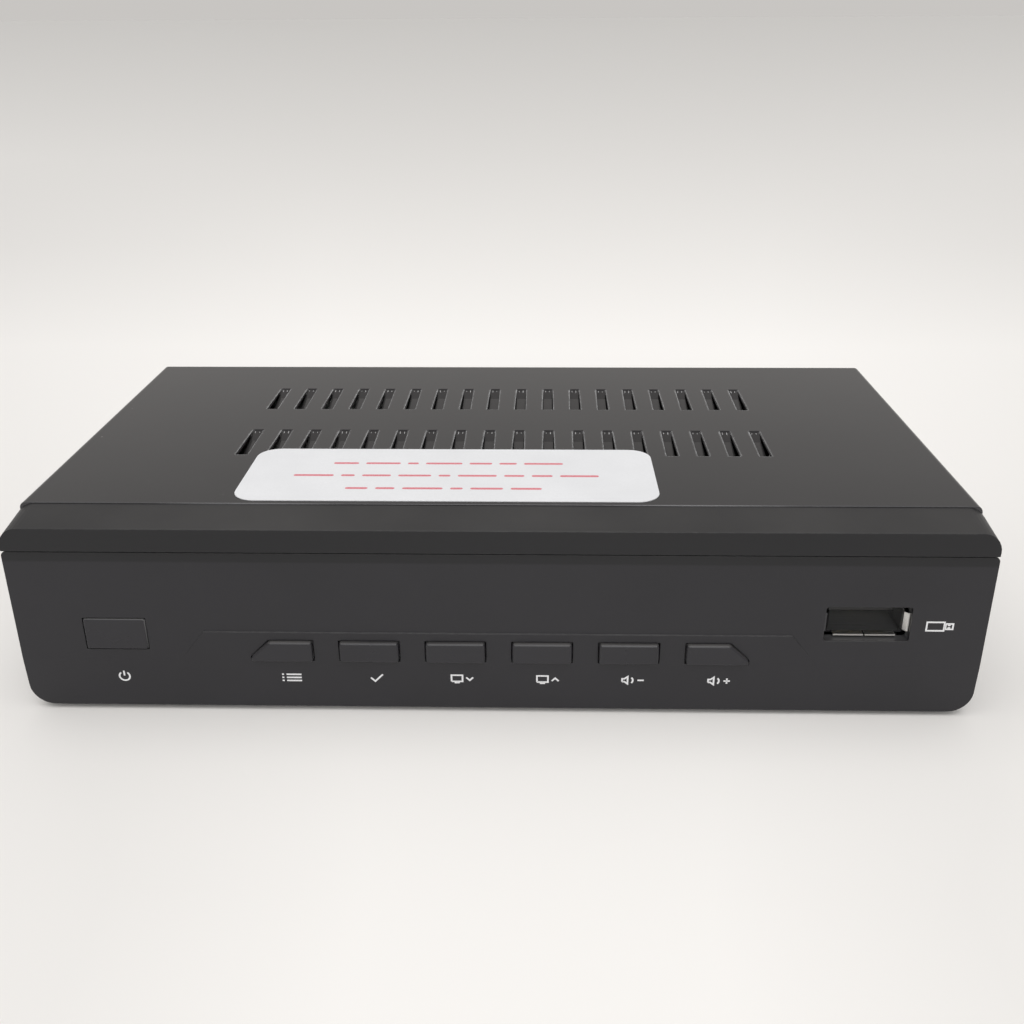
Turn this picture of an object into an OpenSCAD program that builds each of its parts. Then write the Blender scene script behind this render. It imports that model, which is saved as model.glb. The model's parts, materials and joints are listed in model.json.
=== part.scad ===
// Compact digital television receiver, all sizes in millimetres.
// +X is to the right seen from the front, +Y runs to the back, +Z is up and the floor is at Z = 0.
// Each part is drawn with Y counted from the panel's front face, then moved so the whole is centred.

/* [Front panel] */
// Width of the front panel
panel_w = 164.5; // [156:0.5:190]
// Height of the front panel below the groove
panel_h = 30.2; // [29.5:0.1:36]
// Gap between the floor and the panel's lower edge
panel_clear = 1; // [0.6:0.1:1.3]
// Thickness of the panel's front wall
panel_wall = 2.2; // [1.8:0.1:2.8]
// Depth of the panel's skirt
panel_depth = 8; // [7.8:0.1:10]
// Overhang of the panel past the metal case on each side
panel_side = 1.25; // [0.8:0.05:2]
// Thickness of the panel's top wall
panel_top_wall = 2; // [1.5:0.1:2.5]
// Radius of the panel's lower corners
panel_corner = 4; // [2.5:0.1:6]
// Radius of the panel's upper corners
panel_top_corner = 0.8; // [0.3:0.1:2]
// Clearance between the panel's skirt and the metal case
skirt_gap = 0.2; // [0.1:0.05:0.4]

/* [Keypad bulge] */
// Height of the crease below which the panel leans back
crease_h = 9.4; // [7:0.1:10]
// Height of the bulge's upper ledge
keypad_h = 15.3; // [14.5:0.1:18]
// Distance of the bulge's upper ledge from the panel's ends
keypad_inset = 32.25; // [29:0.05:34]
// Sideways run of the bulge's slanted ends
keypad_run = 4.7; // [3:0.1:6]
// Lean of the lower band in degrees
band_tilt = 3.4; // [1:0.1:4]
// Lean of the bulge's face in degrees
keypad_tilt = 2; // [1:0.1:3.5]

/* [Visor] */
// Height of the groove between panel and visor
groove_h = 0.4; // [0.3:0.05:1]
// Depth of the groove
groove_deep = 1; // [0.6:0.1:1.5]
// Height of the visor's front face
visor_face_h = 4.25; // [3.5:0.05:6]
// Rise of the visor's top from its front edge to its back edge
visor_rise = 1.15; // [0.6:0.05:2]
// Step from the visor's back edge up to the cover
visor_step = 0.2; // [0.1:0.05:0.5]
// Overhang of the visor in front of the panel
visor_over = 0.9; // [0.2:0.1:1.2]
// Lean of the visor's front face in degrees
visor_lean = 3.4; // [0:0.1:5]
// Distance of the visor's ends inside the panel's ends
visor_inset = 0.35; // [0:0.05:0.5]
// Radius of the visor's upper corners
visor_corner = 3.5; // [2:0.1:4]
// Length of the tongue that carries the cover's front edge
visor_tongue = 5; // [3:0.1:8]
// Thickness of that tongue
visor_tongue_t = 2; // [1.2:0.1:3]
// Diameter of the visor's locating pegs
peg_d = 2.4; // [1.8:0.1:3]
// Distance of the outer pegs from the panel's ends
peg_inset = 22; // [12:0.5:40]

/* [Metal case] */
// Depth of the cover
case_d = 79.6; // [75.2:0.2:110]
// Distance of the cover's front edge behind the panel's face
case_setback = 6.9; // [6.3:0.1:7.6]
// Thickness of the cover's sheet
sheet = 0.7; // [0.5:0.05:1]
// Outer bend radius of the cover
bend_r = 1.1; // [1:0.1:2]
// Height of the cover's rear lip
rear_lip = 7; // [6:0.1:9]
// Thickness of the tray's sheet
tray_sheet = 0.8; // [0.6:0.05:1.2]
// Gap between the floor and the tray
tray_clear = 2.2; // [2:0.1:3]
// Height of the tray's side flanges
tray_flange = 9; // [8.5:0.1:14]
// Clearance between cover and tray
case_fit = 0.15; // [0.05:0.05:0.3]

/* [Vents and label] */
// Number of slots in a row
vent_n = 18; // [8:1:20]
// Pitch of the slots
vent_pitch = 5.76; // [4:0.02:6.5]
// Width of a slot
vent_w = 2.1; // [1.5:0.1:3]
// Length of a slot
vent_l = 13.8; // [8:0.1:16]
// Distance of the front row behind the cover's front edge
vent_set = 22.8; // [18:0.1:26]
// Distance from one row to the next
vent_row = 26.4; // [20:0.1:28]
// Sideways place of the rows' middle
vent_x = 0.3; // [-2:0.1:2]
// Slope in degrees of the back stretch of the tab that is pressed down under a slot
vent_tilt = 17; // [10:1:18]
// Slope in degrees of the tab's front stretch
vent_flat = 7.5; // [4:0.5:9]
// Distance of the bend between the two stretches from the slot's back end
vent_knee = 3.6; // [2:0.1:5]
// Width of the paper label
label_w = 73.1; // [40:0.1:90]
// Depth of the paper label
label_d = 24.4; // [12:0.1:25]
// Sideways place of the label's middle
label_x = -8.8; // [-20:0.1:20]
// Distance of the label behind the cover's front edge
label_set = 1.1; // [0.6:0.1:6]
// Corner radius of the label
label_r = 4; // [1:0.1:6]
// Thickness of the label
label_t = 0.12; // [0.08:0.01:0.3]

/* [Keys] */
// Space from one key of the row of six to the next
key_space = 4.6; // [4:0.1:5.4]
// Height of a key
key_h = 3.9; // [3:0.1:4.6]
// Distance of the row's pitch cells from the bulge's ends
key_margin = 5.6; // [4:0.1:7]
// Sideways place of the row's middle
key_row_x = 0.4; // [-1:0.1:1]
// Height of the row above the panel's lower edge
key_z = 11.65; // [11.2:0.05:12.2]
// Run of the slanted end on the two outer keys
key_slant = 3.3; // [2:0.1:5]
// Height of the upright stretch below that slant
key_toe = 0.9; // [0.4:0.1:2]
// Extra width of the two outer keys
key_end_extra = 0.5; // [0:0.1:1]
// How far the keys stand out from the panel's face
key_proud = 0.85; // [0.7:0.05:1.5]
// Width of the standby key
standby_w = 10.6; // [8:0.1:12]
// Height of the standby key
standby_h = 5.85; // [4:0.05:6.5]
// Distance of the standby key's middle from the panel's left end
standby_inset = 17.05; // [15.5:0.05:20]
// Height of the standby key's middle above the panel's lower edge
standby_z = 14.7; // [13.5:0.1:16]
// How far the standby key's lower edge stands out
standby_proud = 0.3; // [0.05:0.05:0.8]
// Lean of the standby key's face in degrees
standby_lean = 1; // [0:0.1:5]
// Gap round a key in its window
key_gap = 0.15; // [0.15:0.05:0.5]
// Border of the flange that keeps a key in
key_flange = 1; // [0.6:0.1:1.2]
// Thickness of that flange
key_flange_t = 1; // [0.8:0.1:1.5]
// Free play between flange and panel
key_play = 0.2; // [0.1:0.05:0.3]
// Length of a key's stem behind its flange
stem_l = 3.6; // [2:0.1:5]
// Diameter of a key's stem
stem_d = 4.2; // [3.8:0.1:5]
// Travel of a key
key_travel = 0.4; // [0.25:0.05:0.6]

/* [Front board] */
// Distance of the front board behind the panel's face
board_set = 15.2; // [14.6:0.1:18]
// Thickness of both boards
board_t = 1.6; // [1:0.1:2]
// Distance of the front board's ends from the panel's ends
board_inset = 9; // [6:0.1:10]
// Margin of the front board below the switches
board_margin = 1.6; // [1.2:0.1:2]
// Gap between the front board and the panel's top wall
board_top_gap = 0.8; // [0.5:0.1:2]
// Width of a push switch
switch_w = 6; // [5.4:0.1:6.4]
// Depth of a push switch
switch_l = 3.5; // [3:0.1:4.5]
// Diameter of a switch plunger
plunger_d = 3.5; // [3:0.1:3.6]
// Length of the plunger inside the switch at rest
plunger_in = 0.6; // [0.4:0.1:1]
// Running clearance round a plunger
plunger_gap = 0.1; // [0.05:0.01:0.15]
// Diameter of the panel's screw bosses
boss_d = 6; // [5:0.1:7]
// Distance of the bosses from the panel's ends
boss_inset = 31.75; // [31:0.05:33]
// Height of the lower bosses above the panel's lower edge
boss_low = 11.5; // [10.6:0.1:12.5]
// Height of the upper bosses above the panel's lower edge
boss_high = 23.5; // [20:0.1:24]
// Distance of the panel's bottom ears from its ends
ear_inset = 22; // [18:0.5:26]
// Width of an ear
ear_w = 9; // [8:0.1:12]
// Reach of an ear behind the panel's face
ear_l = 20; // [18:0.1:21]

/* [Front socket] */
// Distance of the socket's middle from the panel's right end
socket_inset = 19.9; // [18:0.1:20.5]
// Height of the socket's middle above the panel's lower edge
socket_z = 17.6; // [16:0.1:19]
// Width of the socket's shell
socket_w = 13.1; // [12.6:0.1:13.4]
// Height of the socket's shell
socket_h = 5.72; // [5.5:0.02:6]
// Thickness of the sockets' sheet
socket_sheet = 0.3; // [0.2:0.05:0.4]
// Distance of the shell's mouth behind the panel's face
socket_mouth = 2.5; // [2.3:0.1:2.8]
// Length of the upper and lower lips
lip_l = 1.2; // [0.8:0.1:1.4]
// Length of the side lips' straight stretch
side_lip_run = 1.1; // [0.8:0.1:1.3]
// Length of the side lips' flared stretch
side_lip_l = 0.8; // [0.6:0.1:1]
// Flare of the upper and lower lips in degrees
lip_flare = 3; // [0:1:10]
// Flare of the side lips in degrees
side_flare = 40; // [30:1:45]
// Clearance beside the lips in the panel's window
lip_gap = 0.1; // [0.1:0.05:0.3]
// Clearance above and below the lips in that window
lip_room = 0.33; // [0.2:0.01:0.5]
// Corner radius of that window
window_r = 0.5; // [0.2:0.1:0.8]
// Distance of the tongue behind the mouth
tongue_set = 2.2; // [2:0.1:4]
// Width of the tongue
tongue_w = 11.1; // [10:0.1:11.4]
// Thickness of the tongue
tongue_t = 1.84; // [1.6:0.02:2]

/* [Main board] */
// Height of the standoffs
standoff_h = 5; // [5:0.1:7]
// Diameter of the standoffs
standoff_d = 5.5; // [5:0.1:7]
// Gap between the main board and the tray's side flanges
board_side = 5.3; // [4.5:0.1:8]
// Gap between the main board and the rear wall
board_back = 1; // [0.6:0.1:1.2]
// Gap between the two boards
board_apart = 5.2; // [4.6:0.1:7]
// Width of the tuner can
tuner_w = 36; // [34:0.1:40]
// Depth of the tuner can
tuner_d = 26; // [20:0.1:27]
// Height of the tuner can
tuner_h = 17; // [16.5:0.1:20]
// Distance of the tuner from the board's end
tuner_inset = 11; // [10.5:0.1:13]
// Thickness of the tuner's sheet
tuner_sheet = 0.5; // [0.3:0.05:0.8]

/* [Rear sockets] */
// Reach of the aerial sockets behind the cover
aerial_reach = 9; // [8.5:0.1:12]
// Height of the aerial sockets above the main board
aerial_z = 8.5; // [8:0.1:9]
// Distance between the aerial sockets
aerial_pitch = 17; // [16:0.1:19]
// Inside diameter of the aerial input
aerial_in_d = 9.6; // [9.5:0.02:9.8]
// Outside diameter of the aerial output
aerial_out_d = 9.5; // [9.4:0.02:9.6]
// Wall of the aerial barrels
aerial_wall = 0.9; // [0.6:0.1:1]
// Depth of the aerial input's mouth
aerial_mouth = 6; // [4.5:0.1:7]
// Diameter of the aerial centre pin
aerial_pin_d = 2.3; // [2.2:0.02:2.4]
// Sideways place of the video socket
video_x = -9; // [-12:0.1:0]
// Width of the video socket
video_w = 15; // [14.6:0.1:15.4]
// Height of the video socket
video_h = 5.6; // [5.4:0.1:6]
// Depth of the video socket
video_d = 12; // [10:0.1:14]
// Sideways place of the audio and video jacks' middle from the board's end
av_inset = 42; // [41:0.1:44]
// Pitch of the audio and video jacks
av_pitch = 14; // [13:0.1:14.5]
// Outside diameter of a jack's ring
av_ring_d = 8.3; // [8.2:0.02:8.4]
// Reach of the jacks behind the cover
av_reach = 8; // [7:0.1:8.4]
// Height of the jacks above the main board
av_z = 6.8; // [6:0.1:7.5]
// Diameter of a jack's centre hole
av_hole_d = 3.3; // [3.2:0.05:3.6]
// Distance of the power socket's middle from the board's end
power_inset = 7.5; // [7:0.1:9]
// Diameter of the power socket's nose
power_nose_d = 8.4; // [8:0.1:9]
// Bore of the power socket
power_bore_d = 6; // [5.6:0.1:6.4]
// Diameter of the power socket's centre pin
power_pin_d = 2; // [1.9:0.05:2.5]
// Clearance between a rear socket and its hole in the wall
wall_gap = 0.4; // [0.2:0.05:0.6]
// Assembly clearance of pieces that sit inside each other
seat_gap = 0.05; // [0.02:0.01:0.1]

/* [Feet and screws] */
// Diameter of a foot
foot_d = 9; // [7:0.1:12]
// Distance of the feet from the tray's sides
foot_inset = 10; // [8:0.1:12]
// Distance of the feet from the case's front and back edges
foot_set = 18; // [15:0.5:24]
// Thread diameter of the case screws
screw_d = 2.9; // [2.5:0.1:3]
// Head diameter of the case screws
screw_head_d = 5.6; // [5:0.1:6]
// Head height of the case screws
screw_head_h = 1.1; // [0.8:0.1:1.2]
// Thread diameter of the board screws
small_screw_d = 2.2; // [2:0.1:2.4]
// Head diameter of the board screws
small_head_d = 4.4; // [4:0.1:5]
// Head height of the board screws
small_head_h = 1.5; // [1:0.1:1.8]
// Clearance round a screw in its hole
screw_gap = 0.1; // [0.05:0.05:0.2]

/* [Hidden] */
$fn = 48;
arc_steps = 8;
// How far a cutting shape reaches past the face that it cuts
cut = 1;
// How far two shapes of one piece run into each other
bite = 0.2;
// Free length past the end of a screw or a plunger in its hole
blind_end = 0.3;

plastic = "#2b2a2d";
steel_black = "#262628";
zinc = "#c9ccce";
brass = "#c9a653";
board_green = "#1f5c38";
chip_black = "#1b1b1d";

// Heights
panel_low = panel_clear;
panel_top = panel_low + panel_h;
visor_low = panel_top + groove_h;
visor_front_top = visor_low + visor_face_h;
visor_back_top = visor_front_top + visor_rise;
cover_top = visor_back_top + visor_step;
cover_in = cover_top - sheet;
tray_floor = tray_clear + tray_sheet;
main_low = tray_floor + standoff_h;
main_top = main_low + board_t;

// Widths
case_w = panel_w - 2 * panel_side;
tray_half = case_w / 2 - sheet - case_fit;
main_half = tray_half - tray_sheet - board_side;
skirt_in = case_w / 2 + skirt_gap;

// Depths behind the panel's face
visor_back = case_setback - seat_gap;
case_back = case_setback + case_d;
wall_out = case_back - sheet - case_fit;
wall_in = wall_out - tray_sheet;
board_back_y = board_set + board_t;
main_front = board_back_y + board_apart;
main_back = wall_in - board_back;
socket_end = case_back + max(aerial_reach, av_reach);
keypad_rise = (keypad_h - crease_h) * tan(keypad_tilt);
front_out = max(key_proud, standby_proud, visor_over, keypad_rise);
face_y = -(socket_end - front_out) / 2;
peg_places = [-panel_w / 2 + peg_inset, 0, panel_w / 2 - peg_inset];

// Keys: place and size of the six in the row, left to right, then the standby key
keypad_w = panel_w - 2 * keypad_inset;
key_pitch = (keypad_w - 2 * key_margin) / 6;
key_w = key_pitch - key_space;
key_x = [for (i = [0:5]) key_row_x + (i - 2.5) * key_pitch];
row_z = panel_low + key_z;
standby_x = -panel_w / 2 + standby_inset;
standby_mid = panel_low + standby_z;
flange_y = panel_wall + key_play;
stem_y = flange_y + key_flange_t;
plunger_y = stem_y + stem_l;
switch_y = board_set - switch_l;
switch_places = concat([for (x = key_x) [x, row_z]], [[standby_x, standby_mid]]);

// Front board and what holds it
front_board_low = row_z - switch_w / 2 - board_margin;
front_board_top = panel_top - panel_top_wall - board_top_gap;
front_board_half = panel_w / 2 - board_inset;
boss_x = panel_w / 2 - boss_inset;
boss_places = [for (x = [-boss_x, boss_x], z = [boss_low, boss_high]) [x, panel_low + z]];
ear_x = panel_w / 2 - ear_inset;
ear_gap = 0.6;
ear_top = front_board_low - ear_gap;
ear_screw_y = ear_l - ear_w / 2;
pilot_d = screw_d + 2 * screw_gap;
small_pilot_d = small_screw_d + 2 * screw_gap;
boss_screw_l = 7;
ear_screw_l = ear_top - tray_floor - ear_gap;

// Front socket
socket_x = panel_w / 2 - socket_inset;
socket_mid = panel_low + socket_z;
lip_out = lip_l * sin(lip_flare);
side_lip_out = side_lip_l * sin(side_flare);
tongue_y = socket_mouth + tongue_set;
socket_base_l = 3;
tongue_low = socket_mid + seat_gap;
contact_x = [-3.5, -1, 1, 3.5];

// Ribbon between the boards
ribbon_w = 12;
ribbon_t = 0.9;
ribbon_bend = 4;
header_w = 14;
header_d = 2.4;
header_h = 5;
ribbon_drop = 2;
ribbon_run = 1;
ribbon_z = main_top + header_h + ribbon_bend + ribbon_drop;
ribbon_y = board_back_y + header_d + ribbon_bend + ribbon_run;

// Main board and rear sockets
rear_stand = 0.4;
standoff_inset = 5;
standoff_span = 32;
standoff_floor = 1;
board_screw_l = board_t + standoff_h - standoff_floor - blind_end;
standoff_x = main_half - standoff_inset;
standoff_y = [main_front + standoff_inset, main_front + standoff_inset + standoff_span];
standoff_places = [for (x = [-standoff_x, standoff_x], y = standoff_y) [x, y]];
tuner_x = -main_half + tuner_inset;
tuner_back = main_back - bite;
aerial_x = tuner_x + (tuner_w - aerial_pitch) / 2;
aerial_out_x = aerial_x + aerial_pitch;
aerial_mid = main_top + aerial_z;
aerial_end = case_back + aerial_reach;
aerial_in_out_d = aerial_in_d + 2 * aerial_wall;
aerial_out_in_d = aerial_out_d - 2 * aerial_wall;
aerial_flange_t = 1;
aerial_flange_y = tuner_back + aerial_flange_t;
aerial_flange = 1;
aerial_root = wall_out + rear_stand;
aerial_root_d = aerial_out_d + 2 * aerial_wall;
contact_wall = 0.6;
contact_d = aerial_pin_d + 2 * contact_wall;
video_end = wall_out + rear_stand;
video_tongue_set = 3.6;
video_chamfer = 1.8;
av_x = main_half - av_inset;
av_mid = main_top + av_z;
av_end = case_back + av_reach;
av_face = wall_in - case_fit;
av_block_d = 12;
av_wall = 0.5;
av_collar = 0.6;
av_collar_d = av_ring_d + 2 * av_collar;
av_root = wall_out + rear_stand;
av_recess = 0.6;
av_hole_l = 7;
power_x = main_half - power_inset;
power_w = 9;
power_h = 11;
power_d = 14;
power_end = case_back + rear_stand;
power_mid = main_top + power_h / 2;
power_bore_l = 9;
power_pin_root = 2;
power_pin_set = 1;
power_pin_y = power_end - power_bore_l - power_pin_root;

// Components on the main board
chip_w = 22;
chip_t = 1.5;
chip_aside = 2;
chip_set = 24;
chip_x = -chip_aside;
chip_y = main_front + chip_set;
memory_w = 10;
memory_l = 18.4;
memory_t = 1.2;
memory_set = 14;
memory_space = 3;
cap_d = 8;
cap_h = 12;
cap_space = 3;
cap_inset = 13;
cap_set = 12;
cap_pitch = cap_d + cap_space;
cap_x = [main_half - cap_inset - cap_pitch, main_half - cap_inset];
cap_y = [for (i = [0:2]) main_front + cap_set + i * cap_pitch];
memory_mid_x = (chip_x + chip_w / 2 + cap_x[0] - cap_d / 2) / 2;
memory_x = [memory_mid_x - memory_space / 2 - memory_w, memory_mid_x + memory_space / 2];
memory_y = main_front + memory_set;
coil_w = 10;
coil_gap = 3.7;
coil_inset = 38;
coil_place = [main_half - coil_inset, av_face - av_block_d - coil_gap - coil_w / 2];
crystal_gap = 13;
crystal_place = [chip_x - chip_w / 2 - crystal_gap, chip_y - chip_aside];

// Case screws
lip_screw_inset = 14;
side_screw_set = 16;
lip_screw_x = case_w / 2 - lip_screw_inset;
lip_screw_z = cover_top - rear_lip / 2;
side_screw_y = case_back - side_screw_set;
side_screw_z = tray_floor + tray_flange / 2;
side_screw_l = 4;
lip_screw_l = 5;
foot_x = tray_half - foot_inset;
foot_y = [case_setback + foot_set, case_back - foot_set / 2];

// Points of an arc in the plane, from angle a0 to a1
function arc(x, y, r, a0, a1) =
    [for (i = [0:arc_steps]) let (a = a0 + (a1 - a0) * i / arc_steps) [x + r * cos(a), y + r * sin(a)]];

// Outline between two heights, with its own radius at the lower and the upper corners
function round_outline(w, low, high, r_low, r_high) = concat(
    arc(w / 2 - r_low, low + r_low, r_low, -90, 0),
    arc(w / 2 - r_high, high - r_high, r_high, 0, 90),
    arc(-w / 2 + r_high, high - r_high, r_high, 90, 180),
    arc(-w / 2 + r_low, low + r_low, r_low, 180, 270));

// Outline of a key in the row: the left or the right end may be slanted
function key_outline(left, right, grow) = let (
    hw = key_w / 2 + grow,
    hh = key_h / 2 + grow,
    lx = -hw - (left ? key_end_extra : 0),
    rx = hw + (right ? key_end_extra : 0),
    toe = key_toe)
    concat(
        [[lx, -hh], [rx, -hh]],
        right ? [[rx, -hh + toe], [rx - key_slant, hh]] : [[rx, hh]],
        left ? [[lx + key_slant, hh], [lx, -hh + toe]] : [[lx, hh]]);

// Outline of the video socket: a rectangle with its lower corners cut off
function video_outline(shrink) = let (
    hw = video_w / 2 - shrink,
    low = shrink,
    high = video_h - shrink,
    c = video_chamfer)
    [[-hw + c, low], [hw - c, low], [hw, low + c], [hw, high], [-hw, high], [-hw, low + c]];

// Moves a part from the panel's face to its place in the frame
module at_face() translate([0, face_y, 0]) children();

// Block between two corners
module block(low, high) translate(low) cube(high - low);

// Outline in X and Z carried along Y
module along_y(y0, y1) translate([0, y1, 0]) rotate([90, 0, 0]) linear_extrude(y1 - y0) children();

// Outline in Y and Z carried along X
module along_x(x0, x1) translate([x0, 0, 0]) rotate([90, 0, 90]) linear_extrude(x1 - x0) children();

// Round bar along Y at a place given in X and Z
module rod_y(d, y0, y1, place) {
    translate([place[0], y0, place[1]])
        rotate([-90, 0, 0])
            cylinder(d = d, h = y1 - y0);
}

// Tube along Y
module tube_y(d_out, d_in, y0, y1, place) {
    difference() {
        rod_y(d_out, y0, y1, place);
        rod_y(d_in, y0 - cut, y1 + cut, place);
    }
}

// Screw along +Z with its head below Z = 0
module screw(d, l, head_d, head_h) {
    slot_l = head_d * 0.6;
    slot_w = head_d * 0.15;
    cylinder(d = d, h = l);
    difference() {
        translate([0, 0, -head_h]) cylinder(d = head_d, h = head_h);
        for (a = [0, 90])
            rotate([0, 0, a])
                translate([-slot_l / 2, -slot_w / 2, -head_h - cut])
                    cube([slot_l, slot_w, cut + head_h / 2]);
    }
}

module keypad_bulge() {
    intersection() {
        along_x(-panel_w / 2, panel_w / 2)
            polygon([
                [panel_wall / 2, panel_low + crease_h],
                [0, panel_low + crease_h],
                [-keypad_rise, panel_low + keypad_h],
                [panel_wall / 2, panel_low + keypad_h]]);
        along_y(-keypad_rise - cut, panel_wall)
            polygon([
                [-keypad_w / 2 - keypad_run, panel_low + crease_h],
                [keypad_w / 2 + keypad_run, panel_low + crease_h],
                [keypad_w / 2, panel_low + keypad_h],
                [-keypad_w / 2, panel_low + keypad_h]]);
    }
}

module panel_shell() {
    skirt_low = tray_clear - seat_gap;
    inner_r = max(panel_corner - (panel_w / 2 - skirt_in), 0.5);
    inner_top_r = 0.3;
    difference() {
        along_y(0, panel_depth)
            polygon(round_outline(panel_w, panel_low, panel_top, panel_corner, panel_top_corner));
        along_y(panel_wall, panel_depth + cut)
            polygon(round_outline(2 * skirt_in, skirt_low, panel_top - panel_top_wall, inner_r, inner_top_r));
        block(
            [-skirt_in, visor_back, panel_top - panel_top_wall - bite],
            [skirt_in, panel_depth + cut, panel_top + cut]);
        along_x(-panel_w / 2 - cut, panel_w / 2 + cut)
            polygon([
                [0, panel_low + crease_h],
                [crease_h * tan(band_tilt), panel_low],
                [crease_h * tan(band_tilt), panel_low - cut],
                [-cut, panel_low - cut],
                [-cut, panel_low + crease_h]]);
    }
}

module key_window(i) {
    translate([key_x[i], 0, row_z])
        along_y(-keypad_rise - cut, panel_wall + cut)
            polygon(key_outline(i == 0, i == 5, key_gap));
}

module front_panel() {
    window_w = socket_w + 2 * (side_lip_out + lip_gap);
    window_h = socket_h + 2 * (lip_out + lip_room);
    color(plastic) at_face()
    difference() {
        union() {
            panel_shell();
            keypad_bulge();
            for (p = boss_places)
                rod_y(boss_d, panel_wall - bite, board_set, p);
            for (s = [-1, 1])
                block(
                    [s * ear_x - ear_w / 2, panel_wall - bite, tray_floor],
                    [s * ear_x + ear_w / 2, ear_l, ear_top]);
        }
        for (i = [0:5])
            key_window(i);
        block(
            [standby_x - standby_w / 2 - key_gap, -cut, standby_mid - standby_h / 2 - key_gap],
            [standby_x + standby_w / 2 + key_gap, panel_wall + cut, standby_mid + standby_h / 2 + key_gap]);
        translate([socket_x, 0, socket_mid])
            along_y(-cut, panel_wall + cut)
                polygon(round_outline(window_w, -window_h / 2, window_h / 2, window_r, window_r));
        for (p = boss_places)
            rod_y(small_pilot_d, board_set - boss_screw_l - blind_end, board_set + cut, p);
        for (s = [-1, 1])
            translate([s * ear_x, ear_screw_y, tray_floor - cut])
                cylinder(d = pilot_d, h = cut + ear_screw_l + blind_end);
        for (x = peg_places)
            translate([x, visor_back / 2, panel_top - panel_top_wall - cut])
                cylinder(d = peg_d + 2 * screw_gap, h = panel_top_wall + 2 * cut);
    }
}

// Bar with the visor's rounded upper corners, leaning down from its back edge to its front edge
module visor_bar() {
    slope = atan2(visor_rise, visor_back + visor_over);
    visor_w = panel_w - 2 * visor_inset;
    translate([0, visor_back, visor_back_top])
        rotate([slope, 0, 0])
            along_y(-2 * (visor_back + visor_over), 2 * cut)
                polygon(round_outline(visor_w, -4 * visor_face_h, 0, cut, visor_corner));
}

module visor() {
    tongue_half = case_w / 2 - bend_r - sheet - cut;
    color(plastic) at_face() {
        intersection() {
            visor_bar();
            along_x(-panel_w, panel_w)
                polygon([
                    [visor_face_h * tan(visor_lean) - visor_over, visor_low],
                    [visor_back, visor_low],
                    [visor_back, cover_top],
                    [-visor_over, cover_top],
                    [-visor_over, visor_front_top]]);
        }
        block(
            [-panel_w / 2 + groove_deep, groove_deep, panel_top],
            [panel_w / 2 - groove_deep, visor_back, visor_low + bite]);
        block(
            [-tongue_half, visor_back - cut, cover_in - visor_tongue_t],
            [tongue_half, case_setback + visor_tongue, cover_in]);
        for (x = peg_places)
            translate([x, visor_back / 2, panel_top - panel_top_wall])
                cylinder(d = peg_d, h = panel_top_wall + bite);
    }
}

// Tab under a slot whose back end is at y: it hangs on that end, slopes down to a bend and runs on flatter
module vent_tab(x, y) {
    front_l = vent_l - vent_knee / cos(vent_tilt);
    knee_y = y - vent_knee;
    knee_z = cover_top - vent_knee * tan(vent_tilt);
    tip_y = knee_y - front_l * cos(vent_flat);
    tip_z = knee_z - front_l * sin(vent_flat);
    mean_tilt = (vent_tilt + vent_flat) / 2;
    along_x(x - vent_w / 2, x + vent_w / 2)
        polygon([
            [y + bite, cover_top],
            [y, cover_top],
            [knee_y, knee_z],
            [tip_y, tip_z],
            [tip_y + sheet * sin(vent_flat), tip_z - sheet * cos(vent_flat)],
            [knee_y + sheet * sin(mean_tilt), knee_z - sheet * cos(mean_tilt)],
            [y + bite, cover_in]]);
}

module cover_bend() {
    in_r = bend_r - sheet;
    half = case_w / 2;
    along_y(case_setback, case_back)
        polygon(concat(
            [[half, tray_clear]],
            arc(half - bend_r, cover_top - bend_r, bend_r, 0, 90),
            arc(-half + bend_r, cover_top - bend_r, bend_r, 90, 180),
            [[-half, tray_clear], [-half + sheet, tray_clear]],
            arc(-half + bend_r, cover_top - bend_r, in_r, 180, 90),
            arc(half - bend_r, cover_top - bend_r, in_r, 90, 0),
            [[half - sheet, tray_clear]]));
}

module top_cover() {
    slot_x = [for (i = [0:vent_n - 1]) vent_x + (i - (vent_n - 1) / 2) * vent_pitch];
    slot_y = [case_setback + vent_set, case_setback + vent_set + vent_row];
    color(steel_black) at_face() {
        difference() {
            union() {
                cover_bend();
                block(
                    [-case_w / 2 + sheet / 2, case_back - sheet, cover_top - rear_lip],
                    [case_w / 2 - sheet / 2, case_back, cover_top - sheet / 2]);
            }
            for (x = slot_x, y = slot_y)
                block([x - vent_w / 2, y, cover_in - cut], [x + vent_w / 2, y + vent_l, cover_top + cut]);
            for (s = [-1, 1]) {
                rod_y(pilot_d, case_back - sheet - cut, case_back + cut, [s * lip_screw_x, lip_screw_z]);
                translate([s * case_w / 2, side_screw_y, side_screw_z])
                    rotate([0, 90, 0])
                        cylinder(d = pilot_d, h = 4 * sheet, center = true);
            }
        }
        for (x = slot_x, y = slot_y)
            vent_tab(x, y + vent_l);
    }
}

module top_label() {
    color("white") at_face()
        translate([label_x, case_setback + label_set, cover_top])
            linear_extrude(label_t)
                polygon(round_outline(label_w, 0, label_d, label_r, label_r));
}

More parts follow.
